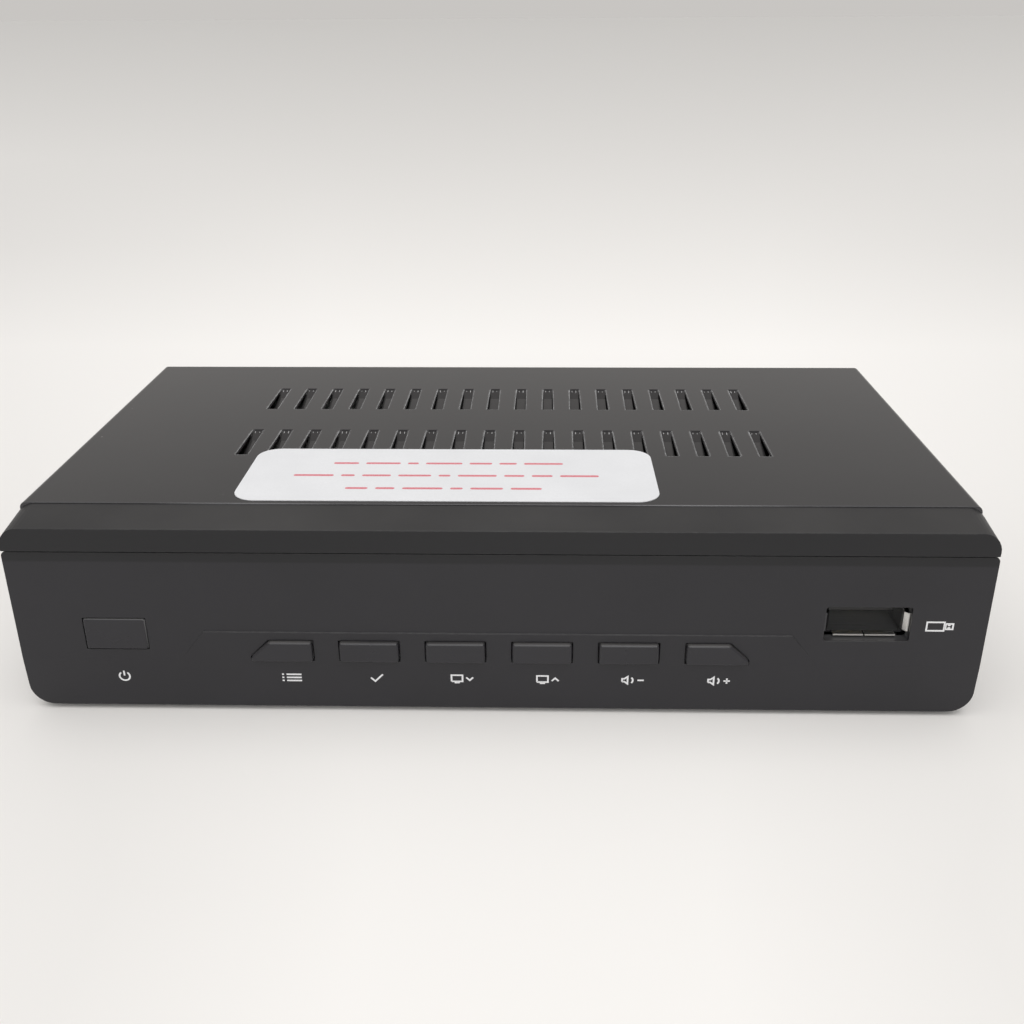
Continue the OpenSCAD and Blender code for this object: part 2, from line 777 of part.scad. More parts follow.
module chassis_tray() {
    color("#8f9396") at_face()
    difference() {
        union() {
            block([-tray_half, case_setback, tray_clear], [tray_half, wall_out, tray_floor]);
            block([-tray_half, wall_in, tray_clear], [tray_half, wall_out, cover_in - case_fit]);
            for (s = [-1, 1])
                translate([s * (tray_half - tray_sheet / 2), 0, 0])
                    block(
                        [-tray_sheet / 2, panel_depth + skirt_gap, tray_clear],
                        [tray_sheet / 2, wall_out, tray_floor + tray_flange]);
        }
        for (s = [-1, 1]) {
            translate([s * ear_x, ear_screw_y, tray_clear - cut])
                cylinder(d = pilot_d, h = tray_sheet + 2 * cut);
            rod_y(pilot_d, wall_in - cut, wall_out + cut, [s * lip_screw_x, lip_screw_z]);
            translate([s * tray_half, side_screw_y, side_screw_z])
                rotate([0, 90, 0])
                    cylinder(d = pilot_d, h = 4 * tray_sheet, center = true);
        }
        rod_y(aerial_in_out_d + 2 * wall_gap, wall_in - cut, wall_out + cut, [aerial_x, aerial_mid]);
        rod_y(aerial_root_d + 2 * wall_gap, wall_in - cut, wall_out + cut, [aerial_out_x, aerial_mid]);
        for (i = [-1:1])
            rod_y(av_collar_d + 2 * wall_gap, wall_in - cut, wall_out + cut, [av_x + i * av_pitch, av_mid]);
        rod_y(power_nose_d + 2 * wall_gap, wall_in - cut, wall_out + cut, [power_x, power_mid]);
        translate([video_x, 0, main_top])
            along_y(wall_in - cut, wall_out + cut)
                polygon(video_outline(-wall_gap));
    }
}

module rubber_feet() {
    color("#151515") at_face()
        for (s = [-1, 1], y = foot_y)
            translate([s * foot_x, y, 0])
                cylinder(d = foot_d, h = tray_clear);
}

module key_back(x, z, half_w, half_h) {
    block([x - half_w, flange_y, z - half_h], [x + half_w, stem_y, z + half_h]);
    rod_y(stem_d, stem_y - bite, plunger_y, [x, z]);
}

module row_key(i) {
    border = key_flange + (i == 0 || i == 5 ? key_end_extra : 0);
    color(plastic) at_face() {
        translate([key_x[i], 0, row_z])
            along_y(-key_proud, stem_y - bite)
                polygon(key_outline(i == 0, i == 5, 0));
        key_back(key_x[i], row_z, key_w / 2 + border, key_h / 2 + key_flange);
    }
}

module menu_button() row_key(0);
module ok_button() row_key(1);
module channel_down_button() row_key(2);
module channel_up_button() row_key(3);
module volume_down_button() row_key(4);
module volume_up_button() row_key(5);

module standby_button() {
    low = standby_mid - standby_h / 2;
    high = standby_mid + standby_h / 2;
    color(plastic) at_face() {
        along_x(standby_x - standby_w / 2, standby_x + standby_w / 2)
            polygon([
                [-standby_proud, low],
                [stem_y - bite, low],
                [stem_y - bite, high],
                [standby_h * tan(standby_lean) - standby_proud, high]]);
        key_back(standby_x, standby_mid, standby_w / 2 + key_flange, standby_h / 2 + key_flange);
    }
}

module plunger(i) {
    color("#101010") at_face()
        rod_y(plunger_d, plunger_y, switch_y + plunger_in, switch_places[i]);
}

module menu_plunger() plunger(0);
module ok_plunger() plunger(1);
module channel_down_plunger() plunger(2);
module channel_up_plunger() plunger(3);
module volume_down_plunger() plunger(4);
module volume_up_plunger() plunger(5);
module standby_plunger() plunger(6);

module switch_bodies() {
    bore_l = plunger_in + key_travel + blind_end;
    color("#3a3a3c") at_face()
        for (p = switch_places)
            difference() {
                block(
                    [p[0] - switch_w / 2, switch_y, p[1] - switch_w / 2],
                    [p[0] + switch_w / 2, board_set, p[1] + switch_w / 2]);
                rod_y(plunger_d + 2 * plunger_gap, switch_y - cut, switch_y + bore_l, p);
            }
}

module front_board() {
    color(board_green) at_face()
    difference() {
        block(
            [-front_board_half, board_set, front_board_low],
            [front_board_half, board_back_y, front_board_top]);
        for (p = boss_places)
            rod_y(small_pilot_d, board_set - cut, board_back_y + cut, p);
    }
}

module front_board_screws() {
    color(zinc) at_face()
        for (p = boss_places)
            translate([p[0], board_back_y, p[1]])
                rotate([90, 0, 0])
                    screw(small_screw_d, board_t + boss_screw_l, small_head_d, small_head_h);
}

// One lip in the plane: a strip that starts on the shell's outer face at height h, then flares
function lip_strip(h, run, l, flare) = let (
    root = socket_mouth - run,
    tip = root - l * cos(flare),
    out = l * sin(flare))
    [
        [socket_mouth + bite, h],
        [root, h],
        [tip, h + out],
        [tip, h + out - socket_sheet],
        [root, h - socket_sheet],
        [socket_mouth + bite, h - socket_sheet]];

module front_socket_shell() {
    inner_w = socket_w - 2 * socket_sheet;
    inner_h = socket_h - 2 * socket_sheet;
    wide_lip = socket_w * 0.8;
    tall_lip = socket_h * 0.6;
    seam = 0.3;
    color(zinc) at_face() translate([socket_x, 0, socket_mid]) {
        difference() {
            block([-socket_w / 2, socket_mouth, -socket_h / 2], [socket_w / 2, board_set, socket_h / 2]);
            block(
                [-inner_w / 2, socket_mouth - cut, -inner_h / 2],
                [inner_w / 2, board_set + cut, inner_h / 2]);
        }
        along_x(-wide_lip / 2, wide_lip / 2)
            polygon(lip_strip(socket_h / 2, 0, lip_l, lip_flare));
        for (s = [-1, 1])
            translate([s * (wide_lip + seam) / 4, 0, 0])
                mirror([0, 0, 1])
                    along_x(-(wide_lip - seam) / 4, (wide_lip - seam) / 4)
                        polygon(lip_strip(socket_h / 2, 0, lip_l, lip_flare));
        for (a = [0, 1])
            mirror([a, 0, 0])
                rotate([0, 90, 0])
                    along_x(-tall_lip / 2, tall_lip / 2)
                        polygon(lip_strip(socket_w / 2, side_lip_run, side_lip_l, side_flare));
    }
}

module front_socket_tongue() {
    base_half_w = socket_w / 2 - socket_sheet - seat_gap;
    base_half_h = socket_h / 2 - socket_sheet - seat_gap;
    color("#111112") at_face() {
        block(
            [socket_x - tongue_w / 2, tongue_y, tongue_low],
            [socket_x + tongue_w / 2, board_set, tongue_low + tongue_t]);
        translate([socket_x, 0, socket_mid])
            block(
                [-base_half_w, board_set - socket_base_l, -base_half_h],
                [base_half_w, board_set, base_half_h]);
    }
}

module front_socket_contacts() {
    contact_t = 0.2;
    contact_w = 1;
    contact_set = 0.8;
    color(brass) at_face()
        for (x = contact_x)
            block(
                [socket_x + x - contact_w / 2, tongue_y + contact_set, tongue_low - contact_t],
                [socket_x + x + contact_w / 2, board_set - socket_base_l, tongue_low]);
}

module remote_sensor() {
    body_w = 5.6;
    body_h = 6.6;
    body_d = 4.2;
    lens_r = 2.2;
    edge = 0.4;
    z = front_board_top - body_h - edge;
    color("#201a1c") at_face() {
        block(
            [standby_x - body_w / 2, board_set - body_d, z],
            [standby_x + body_w / 2, board_set, z + body_h]);
        translate([standby_x, board_set - body_d, z + body_h / 2])
            sphere(r = lens_r);
    }
}

module status_lamp() {
    lamp_d = 3;
    lamp_l = 5;
    rim = 0.8;
    rim_t = 1;
    aside = 9.5;
    above = 4;
    place = [standby_x + aside, standby_mid + above];
    color("#8a1f1c") at_face() {
        rod_y(lamp_d, board_set - lamp_l, board_set, place);
        rod_y(lamp_d + rim, board_set - rim_t, board_set, place);
        translate([place[0], board_set - lamp_l, place[1]])
            sphere(d = lamp_d);
    }
}

module ribbon_headers() {
    color("#e6e2d6") at_face() {
        block(
            [-header_w / 2, board_back_y, ribbon_z - header_h / 2],
            [header_w / 2, board_back_y + header_d, ribbon_z + header_h / 2]);
        block(
            [-header_w / 2, ribbon_y - header_d / 2, main_top],
            [header_w / 2, ribbon_y + header_d / 2, main_top + header_h]);
    }
}

module ribbon_cable() {
    outer = ribbon_bend + ribbon_t / 2;
    inner = ribbon_bend - ribbon_t / 2;
    bend_y = ribbon_y - ribbon_bend;
    bend_z = ribbon_z - ribbon_bend;
    start_y = board_back_y + header_d;
    end_z = main_top + header_h;
    color("#b9b9b4") at_face()
        along_x(-ribbon_w / 2, ribbon_w / 2)
            polygon(concat(
                [[start_y, ribbon_z - ribbon_t / 2]],
                arc(bend_y, bend_z, inner, 90, 0),
                [[bend_y + inner, end_z], [bend_y + outer, end_z]],
                arc(bend_y, bend_z, outer, 0, 90),
                [[start_y, ribbon_z + ribbon_t / 2]]));
}

module main_board() {
    color(board_green) at_face()
    difference() {
        block([-main_half, main_front, main_low], [main_half, main_back, main_top]);
        for (p = standoff_places)
            translate([p[0], p[1], main_low - cut])
                cylinder(d = small_pilot_d, h = board_t + 2 * cut);
    }
}

module board_standoffs() {
    color(brass) at_face()
        for (p = standoff_places)
            translate([p[0], p[1], tray_floor])
                difference() {
                    cylinder(d = standoff_d, h = standoff_h);
                    translate([0, 0, standoff_floor])
                        cylinder(d = small_pilot_d, h = standoff_h);
                }
}

module board_screws() {
    color(zinc) at_face()
        for (p = standoff_places)
            translate([p[0], p[1], main_top])
                rotate([180, 0, 0])
                    screw(small_screw_d, board_screw_l, small_head_d, small_head_h);
}

module tuner_can() {
    color(zinc) at_face()
    difference() {
        block([tuner_x, tuner_back - tuner_d, main_top], [tuner_x + tuner_w, tuner_back, main_top + tuner_h]);
        block(
            [tuner_x + tuner_sheet, tuner_back - tuner_d + tuner_sheet, main_top - cut],
            [tuner_x + tuner_w - tuner_sheet, tuner_back - tuner_sheet, main_top + tuner_h - tuner_sheet]);
    }
}

module aerial_in_barrel() {
    place = [aerial_x, aerial_mid];
    color(zinc) at_face() {
        tube_y(aerial_in_out_d, aerial_in_d, tuner_back, aerial_end, place);
        tube_y(aerial_in_out_d + 2 * aerial_flange, aerial_in_d, tuner_back, aerial_flange_y, place);
    }
}

module aerial_in_insulator() {
    color("#ece9df") at_face()
        tube_y(
            aerial_in_d - 2 * seat_gap,
            contact_d + 2 * seat_gap,
            tuner_back,
            aerial_end - aerial_mouth,
            [aerial_x, aerial_mid]);
}

module aerial_in_contact() {
    color(brass) at_face()
        tube_y(contact_d, aerial_pin_d, tuner_back, aerial_end - aerial_mouth, [aerial_x, aerial_mid]);
}

module aerial_out_barrel() {
    place = [aerial_out_x, aerial_mid];
    color(zinc) at_face() {
        tube_y(aerial_out_d, aerial_out_in_d, tuner_back, aerial_end, place);
        tube_y(aerial_root_d, aerial_out_in_d, tuner_back, aerial_root, place);
        tube_y(aerial_root_d + 2 * aerial_flange, aerial_out_in_d, tuner_back, aerial_flange_y, place);
    }
}

module aerial_out_insulator() {
    color("#ece9df") at_face()
        tube_y(
            aerial_out_in_d - 2 * seat_gap,
            aerial_pin_d + 2 * seat_gap,
            tuner_back,
            aerial_end - aerial_mouth,
            [aerial_out_x, aerial_mid]);
}

module aerial_out_pin() {
    place = [aerial_out_x, aerial_mid];
    tip_y = aerial_end - aerial_pin_d;
    color(brass) at_face() {
        rod_y(aerial_pin_d, tuner_back, tip_y, place);
        translate([place[0], tip_y, place[1]])
            sphere(d = aerial_pin_d);
    }
}

module video_socket_shell() {
    color(zinc) at_face() translate([video_x, 0, main_top])
        along_y(video_end - video_d, video_end)
            difference() {
                polygon(video_outline(0));
                polygon(video_outline(socket_sheet));
            }
}

module video_socket_tongue() {
    blade_half = video_w / 2 - video_chamfer;
    blade_t = 1.1;
    base_l = 3;
    front = video_end - video_d;
    color("#111112") at_face() translate([video_x, 0, main_top]) {
        along_y(front, front + base_l)
            polygon(video_outline(socket_sheet + seat_gap));
        block(
            [-blade_half, front, (video_h - blade_t) / 2],
            [blade_half, video_end - video_tongue_set, (video_h + blade_t) / 2]);
    }
}

module av_block() {
    block_w = 2 * av_pitch + 2 * av_z;
    block_h = 13;
    color(chip_black) at_face()
        block(
            [av_x - block_w / 2, av_face - av_block_d, main_top],
            [av_x + block_w / 2, av_face, main_top + block_h]);
}

module av_rings() {
    color(zinc) at_face()
        for (i = [-1:1])
            tube_y(av_ring_d, av_ring_d - 2 * av_wall, av_root, av_end, [av_x + i * av_pitch, av_mid]);
}

module av_insert(i, shade) {
    place = [av_x + i * av_pitch, av_mid];
    insert_end = av_end - av_recess;
    color(shade) at_face()
    difference() {
        union() {
            rod_y(av_ring_d - 2 * av_wall - 2 * seat_gap, av_face, insert_end, place);
            rod_y(av_collar_d, av_face, av_root, place);
        }
        rod_y(av_hole_d, insert_end - av_hole_l, insert_end + cut, place);
    }
}

module av_insert_yellow() av_insert(-1, "#e0b91c");
module av_insert_white() av_insert(0, "#ededea");
module av_insert_red() av_insert(1, "#b3201c");

module power_socket() {
    place = [power_x, power_mid];
    color(chip_black) at_face()
    difference() {
        union() {
            block(
                [power_x - power_w / 2, av_face - power_d, main_top],
                [power_x + power_w / 2, av_face, main_top + power_h]);
            rod_y(power_nose_d, av_face - bite, power_end, place);
        }
        rod_y(power_bore_d, power_end - power_bore_l, power_end + cut, place);
        rod_y(power_pin_d + 2 * seat_gap, power_pin_y, power_end, place);
    }
}

module power_socket_pin() {
    color(zinc) at_face()
        rod_y(power_pin_d, power_pin_y, power_end - power_pin_set, [power_x, power_mid]);
}

module processor_chip() {
    color(chip_black) at_face()
        translate([chip_x, chip_y, main_top])
            linear_extrude(chip_t)
                square(chip_w, center = true);
}

module heatsink() {
    sink_w = 24;
    base_t = 2;
    fin_t = 1.2;
    fin_h = 9;
    fins = 7;
    gap = (sink_w - fin_t) / (fins - 1);
    low = main_top + chip_t;
    color("#9aa0a4") at_face() {
        translate([chip_x - sink_w / 2, chip_y - sink_w / 2, low])
            cube([sink_w, sink_w, base_t]);
        for (i = [0:fins - 1])
            translate([chip_x - sink_w / 2 + i * gap, chip_y - sink_w / 2, low])
                cube([fin_t, sink_w, fin_h]);
    }
}

module memory_chips() {
    color(chip_black) at_face()
        for (x = memory_x)
            translate([x, memory_y, main_top])
                cube([memory_w, memory_l, memory_t]);
}

module capacitors() {
    crimp = cap_d / 10;
    color("#2a2f4a") at_face()
        for (x = cap_x, y = cap_y)
            translate([x, y, main_top])
                rotate_extrude()
                    polygon([
                        [0, 0],
                        [cap_d / 2, 0],
                        [cap_d / 2, crimp],
                        [cap_d / 2 - crimp / 2, 2 * crimp],
                        [cap_d / 2, 3 * crimp],
                        [cap_d / 2, cap_h - crimp / 2],
                        [cap_d / 2 - crimp / 2, cap_h],
                        [0, cap_h]]);
}

module power_coil() {
    coil_h = 4.6;
    coil_r = 2;
    color("#3f3d3c") at_face()
        translate([coil_place[0], coil_place[1], main_top])
            linear_extrude(coil_h)
                polygon(round_outline(coil_w, -coil_w / 2, coil_w / 2, coil_r, coil_r));
}

module crystal_can() {
    can_l = 6.4;
    can_d = 4.6;
    can_h = 3.5;
    color(zinc) at_face()
        translate([crystal_place[0], crystal_place[1], main_top]) {
            translate([-can_l / 2, -can_d / 2, 0])
                cube([can_l, can_d, can_h]);
            for (s = [-1, 1])
                translate([s * can_l / 2, 0, 0])
                    cylinder(d = can_d, h = can_h);
        }
}

module cover_screws() {
    color(steel_black) at_face()
        for (s = [-1, 1]) {
            translate([s * lip_screw_x, case_back, lip_screw_z])
                rotate([90, 0, 0])
                    screw(screw_d, lip_screw_l, screw_head_d, screw_head_h);
            translate([s * case_w / 2, side_screw_y, side_screw_z])
                rotate([0, -s * 90, 0])
                    screw(screw_d, side_screw_l, screw_head_d, screw_head_h);
        }
}

module panel_screws() {
    color(zinc) at_face()
        for (s = [-1, 1])
            translate([s * ear_x, ear_screw_y, tray_clear])
                screw(screw_d, tray_sheet + ear_screw_l, screw_head_d, screw_head_h);
}

front_panel();
visor();
top_cover();
top_label();
chassis_tray();
rubber_feet();
standby_button();
menu_button();
ok_button();
channel_down_button();
channel_up_button();
volume_down_button();
volume_up_button();
standby_plunger();
menu_plunger();
ok_plunger();
channel_down_plunger();
channel_up_plunger();
volume_down_plunger();
volume_up_plunger();
switch_bodies();
front_board();
front_board_screws();
front_socket_shell();
front_socket_tongue();
front_socket_contacts();
remote_sensor();
status_lamp();
ribbon_headers();
ribbon_cable();
main_board();
board_standoffs();
board_screws();
tuner_can();
aerial_in_barrel();
aerial_in_insulator();
aerial_in_contact();
aerial_out_barrel();
aerial_out_insulator();
aerial_out_pin();
video_socket_shell();
video_socket_tongue();
av_block();
av_rings();
av_insert_yellow();
av_insert_white();
av_insert_red();
power_socket();
power_socket_pin();
processor_chip();
heatsink();
memory_chips();
capacitors();
power_coil();
crystal_can();
cover_screws();
panel_screws();
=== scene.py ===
import json
import math

import bpy
import numpy as np
from mathutils import Matrix, Vector


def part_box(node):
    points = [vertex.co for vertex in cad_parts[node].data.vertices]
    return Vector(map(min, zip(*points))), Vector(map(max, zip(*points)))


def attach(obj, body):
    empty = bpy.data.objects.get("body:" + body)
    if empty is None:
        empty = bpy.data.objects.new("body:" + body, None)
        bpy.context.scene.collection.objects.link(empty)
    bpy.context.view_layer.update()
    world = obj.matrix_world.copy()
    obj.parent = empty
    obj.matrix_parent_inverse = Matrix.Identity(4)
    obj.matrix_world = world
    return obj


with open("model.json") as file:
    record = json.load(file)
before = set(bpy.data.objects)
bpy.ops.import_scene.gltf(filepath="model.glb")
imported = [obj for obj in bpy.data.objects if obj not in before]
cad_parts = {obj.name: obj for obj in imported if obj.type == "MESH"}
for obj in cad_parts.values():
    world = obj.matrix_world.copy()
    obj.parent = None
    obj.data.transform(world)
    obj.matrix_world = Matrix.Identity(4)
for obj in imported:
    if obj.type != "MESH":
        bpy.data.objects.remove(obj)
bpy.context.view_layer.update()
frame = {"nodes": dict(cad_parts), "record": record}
nodes = frame["nodes"]

MM = 0.001

# Camera: the place and angles at which the edges of the case line up with the photograph
IMAGE_PX = 1024
FOCAL_PX = 1108.8
SENSOR_MM = 36.0
CAMERA_AT = Vector((7.0, -210.5, 112.0)) * MM
CAMERA_PITCH = math.radians(24.117)
CAMERA_YAW = math.radians(1.476)
CAMERA_ROLL = math.radians(-0.316)

# Front panel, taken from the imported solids
panel_low, panel_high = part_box("front_panel")
label_low, label_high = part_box("top_label")
STANDBY_PROUD = 0.3 * MM
FACE_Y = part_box("standby_button")[0].y + STANDBY_PROUD
SOCKET_MOUTH_Y = FACE_Y + 2.5 * MM
socket_low, socket_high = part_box("front_socket_shell")
SOCKET_X = (socket_low.x + socket_high.x) / 2
SOCKET_Z = panel_low.z + 17.6 * MM
SOCKET_L = 20 * MM
BAND_TILT = math.radians(3.4)
CREASE_Z = panel_low.z + 9.4 * MM

# Vents: the rows run along X, and each slot's tab hangs on its back end
cover_low, cover_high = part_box("top_cover")
VENT_N = 18
VENT_PITCH = 5.76 * MM
VENT_X = 0.3 * MM
VENT_SLOPE = math.tan(math.radians(17))
VENT_BACKS = (cover_low.y + 36.6 * MM, cover_low.y + 63.0 * MM)

# Front edge of the cover: pale bare sheet with a painted highlight, brightest at one place and again a wave
# further on
LIP_GLINT_X = 33.8 * MM
LIP_GLINT_WAVE = 75.6 * MM

# Printed marks under the keys, each a list of strokes in millimetres about its middle
INK_T = 0.03 * MM
MARK_STROKE = 0.3
MARK_Z = panel_low.z + 6.1 * MM
MARK_SHIFT = {"standby": 0.2 * MM}
ROW_SHIFT = 0.95 * MM
TURN = np.radians(np.linspace(128, 412, 25))
FAN = np.radians(np.linspace(-48, 48, 9))
POWER_RING = np.stack((0.9 * np.cos(TURN), 0.9 * np.sin(TURN)), -1)
SOUND_WAVE = np.stack((0.75 * np.cos(FAN) - 0.8, 0.75 * np.sin(FAN)), -1)
SPEAKER = [(-1.9, -0.3), (-1.5, -0.3), (-0.95, -0.75), (-0.95, 0.75), (-1.5, 0.3), (-1.9, 0.3), (-1.9, -0.3)]
SCREEN = [(-1.8, -0.55), (0.1, -0.55), (0.1, 0.75), (-1.8, 0.75), (-1.8, -0.55)]
STAND = [(-1.3, -0.8), (-0.4, -0.8)]
MINUS = [(0.75, 0.0), (1.85, 0.0)]
PLUS_BAR = [(1.3, -0.55), (1.3, 0.55)]
LIST_ROWS = (0.65, 0.0, -0.65)
MARKS = {
    "standby": [POWER_RING, [(0.0, 0.1), (0.0, 1.1)]],
    "menu": [stroke for z in LIST_ROWS for stroke in ([(-1.7, z), (-1.35, z)], [(-0.9, z), (1.7, z)])],
    "ok": [[(-1.0, 0.1), (-0.3, -0.65), (1.1, 0.8)]],
    "channel_down": [SCREEN, STAND, [(0.75, 0.3), (1.35, -0.3), (1.95, 0.3)]],
    "channel_up": [SCREEN, STAND, [(0.75, -0.3), (1.35, 0.3), (1.95, -0.3)]],
    "volume_down": [SPEAKER, SOUND_WAVE, MINUS],
    "volume_up": [SPEAKER, SOUND_WAVE, MINUS, PLUS_BAR],
}
STICK_SIGN_AT = Vector((74.5 * MM, FACE_Y, panel_low.z + 17.3 * MM))

# Pale sweep that the case stands on, darker behind as painted light falloff and beside the case as painted
# shadow, and the light
FLOOR_REACH = 60.0
FLOOR_NEAR = (0.93, 0.905, 0.875, 1)
FLOOR_FAR = (0.555, 0.54, 0.52, 1)
NEAR_M = 0.40
SIDE_SHADE = (0.2, 0.5, 0.09)
SIDE_SHADE_ENDS_M = (0.6, 1.0)
SIDE_SHADE_NEAR_M = 0.12
BACKDROP = (0.577, 0.56, 0.54, 1)
CEILING = (0.43, 0.42, 0.41, 1)
SKY_LEVEL = 0.48
HIGH_LAMP = {"energy": 1.15, "angle": math.radians(70)}
HIGH_LEAN = (math.radians(12), math.radians(-6))
EDGE_LAMP = {"energy": 0.4, "angle": math.radians(30)}
EDGE_LEAN = (math.radians(30), math.radians(7))
FRONT_LAMP = {"energy": 0.7, "angle": math.radians(30)}
FRONT_LEAN = (math.radians(63), 0.0)


def add(tree, kind, inputs=None, **settings):
    """Adds a shader node: settings are its own options, and each input is a link or a plain value."""
    made = tree.nodes.new("ShaderNode" + kind)
    for name, value in settings.items():
        setattr(made, name, value)
    for name, value in (inputs or {}).items():
        if isinstance(value, bpy.types.NodeSocket):
            tree.links.new(value, made.inputs[name])
        else:
            made.inputs[name].default_value = value
    return made


def math_node(tree, operation, first, second=0.0, clamp=False):
    """One arithmetic step on two values."""
    return add(tree, "Math", {0: first, 1: second}, operation=operation, use_clamp=clamp).outputs[0]


def blend(tree, amount, first, second):
    """Mixes two colours by an amount from 0 to 1."""
    factor, colour_a, colour_b, result = 0, 6, 7, 2
    made = add(tree, "Mix", {factor: amount, colour_a: first, colour_b: second}, data_type="RGBA")
    return made.outputs[result]


def spread(tree, value, low, high, to_low, to_high):
    """Maps a value from one range to another and holds it there."""
    return add(tree, "MapRange", {0: value, 1: low, 2: high, 3: to_low, 4: to_high}).outputs[0]


def new_group(name, inputs, outputs, kind="Float"):
    """Starts a shared effect: inputs are (name, default), outputs are names of one kind."""
    tree = bpy.data.node_groups.new(name, "ShaderNodeTree")
    for label, value in inputs:
        socket = tree.interface.new_socket(label, in_out="INPUT", socket_type="NodeSocketFloat")
        socket.default_value = value
    for label in outputs:
        tree.interface.new_socket(label, in_out="OUTPUT", socket_type="NodeSocket" + kind)
    given = tree.nodes.new("NodeGroupInput").outputs
    result = tree.nodes.new("NodeGroupOutput").inputs
    return tree, given, result


def object_place(tree):
    """The surface point in the part's own frame, in metres."""
    return add(tree, "TexCoord").outputs["Object"]


def noise(tree, scale, detail=2.0, roughness=0.5, place=None):
    """Soft random value from 0 to 1 with that many waves in a metre."""
    where = place or object_place(tree)
    values = {"Vector": where, "Scale": scale, "Detail": detail, "Roughness": roughness}
    return add(tree, "TexNoise", values).outputs[0]


def make_grain():
    """Fine skin of moulded plastic or paint: a height for the bump and a slow mottle."""
    inputs = [("Scale", 3000.0), ("Mottle Scale", 60.0)]
    tree, given, result = new_group("fine_grain", inputs, ["Height", "Mottle"])
    fine = noise(tree, given["Scale"], 3.0, 0.6)
    slow = noise(tree, given["Mottle Scale"], 4.0, 0.55)
    tree.links.new(fine, result["Height"])
    tree.links.new(spread(tree, slow, 0.3, 0.7, 0.0, 1.0), result["Mottle"])
    return tree


def make_edge_wear():
    """Mask of rubbed edges: where the rounded normal leaves the flat one, broken up by noise."""
    inputs = [("Radius", 0.0004), ("Break Up", 900.0), ("Gaps", 0.42)]
    tree, given, result = new_group("edge_wear", inputs, ["Mask"])
    flat = add(tree, "NewGeometry").outputs["Normal"]
    rounded = add(tree, "Bevel", {"Radius": given["Radius"]}, samples=4).outputs[0]
    dot = add(tree, "VectorMath", {0: flat, 1: rounded}, operation="DOT_PRODUCT").outputs["Value"]
    edge = spread(tree, dot, 0.98, 0.8, 0.0, 1.0)
    patches = spread(tree, noise(tree, given["Break Up"], 3.0), given["Gaps"], 0.62, 0.0, 1.0)
    tree.links.new(math_node(tree, "MULTIPLY", edge, patches), result["Mask"])
    return tree


def make_dust():
    """Mask of settled dust: specks and a thin film on what faces up."""
    tree, given, result = new_group("settled_dust", [("Scale", 800.0), ("Film", 0.3)], ["Mask"])
    normal = add(tree, "NewGeometry").outputs["Normal"]
    up = add(tree, "SeparateXYZ", {0: normal}).outputs["Z"]
    facing = spread(tree, up, 0.5, 1.0, 0.0, 1.0)
    specks = spread(tree, noise(tree, given["Scale"], 2.0), 0.72, 0.78, 0.0, 1.0)
    film = math_node(tree, "MULTIPLY", noise(tree, 35.0, 4.0), given["Film"])
    settled = math_node(tree, "MAXIMUM", specks, film)
    tree.links.new(math_node(tree, "MULTIPLY", facing, settled), result["Mask"])
    return tree


def make_rolling():
    """Rolling lines of sheet or drawn metal: noise that is squeezed across X and drawn out along it."""
    inputs = [("Across", 4000.0), ("Along", 60.0)]
    tree, given, result = new_group("rolling_lines", inputs, ["Height", "Stain"])
    waves = {"X": given["Along"], "Y": given["Across"], "Z": given["Across"]}
    scale = add(tree, "CombineXYZ", waves).outputs[0]
    place = object_place(tree)
    where = add(tree, "VectorMath", {0: place, 1: scale}, operation="MULTIPLY").outputs["Vector"]
    tree.links.new(noise(tree, 1.0, 3.0, 0.6, where), result["Height"])
    tree.links.new(spread(tree, noise(tree, 180.0, 5.0, 0.6), 0.35, 0.7, 0.0, 1.0), result["Stain"])
    return tree


def make_specks():
    """Mask of stray lint: small dots near the middle of a few cells that are scattered over the surface."""
    tree, given, result = new_group("stray_specks", [("Scale", 130.0), ("Kept", 0.75)], ["Mask"])
    cells = add(tree, "TexVoronoi", {"Vector": object_place(tree), "Scale": given["Scale"]}).outputs
    dot = spread(tree, cells["Distance"], 0.012, 0.030, 1.0, 0.0)
    chance = add(tree, "SeparateColor", {0: cells["Color"]}).outputs[0]
    kept = math_node(tree, "GREATER_THAN", chance, given["Kept"])
    tree.links.new(math_node(tree, "MULTIPLY", dot, kept), result["Mask"])
    return tree


def make_soft_edge():
    """Normal that turns over within a radius of an edge, as on a moulded corner."""
    tree, given, result = new_group("soft_edge", [("Radius", 0.0002)], ["Normal"], "Vector")
    rounded = add(tree, "Bevel", {"Radius": given["Radius"]}, samples=6).outputs[0]
    tree.links.new(rounded, result["Normal"])
    return tree


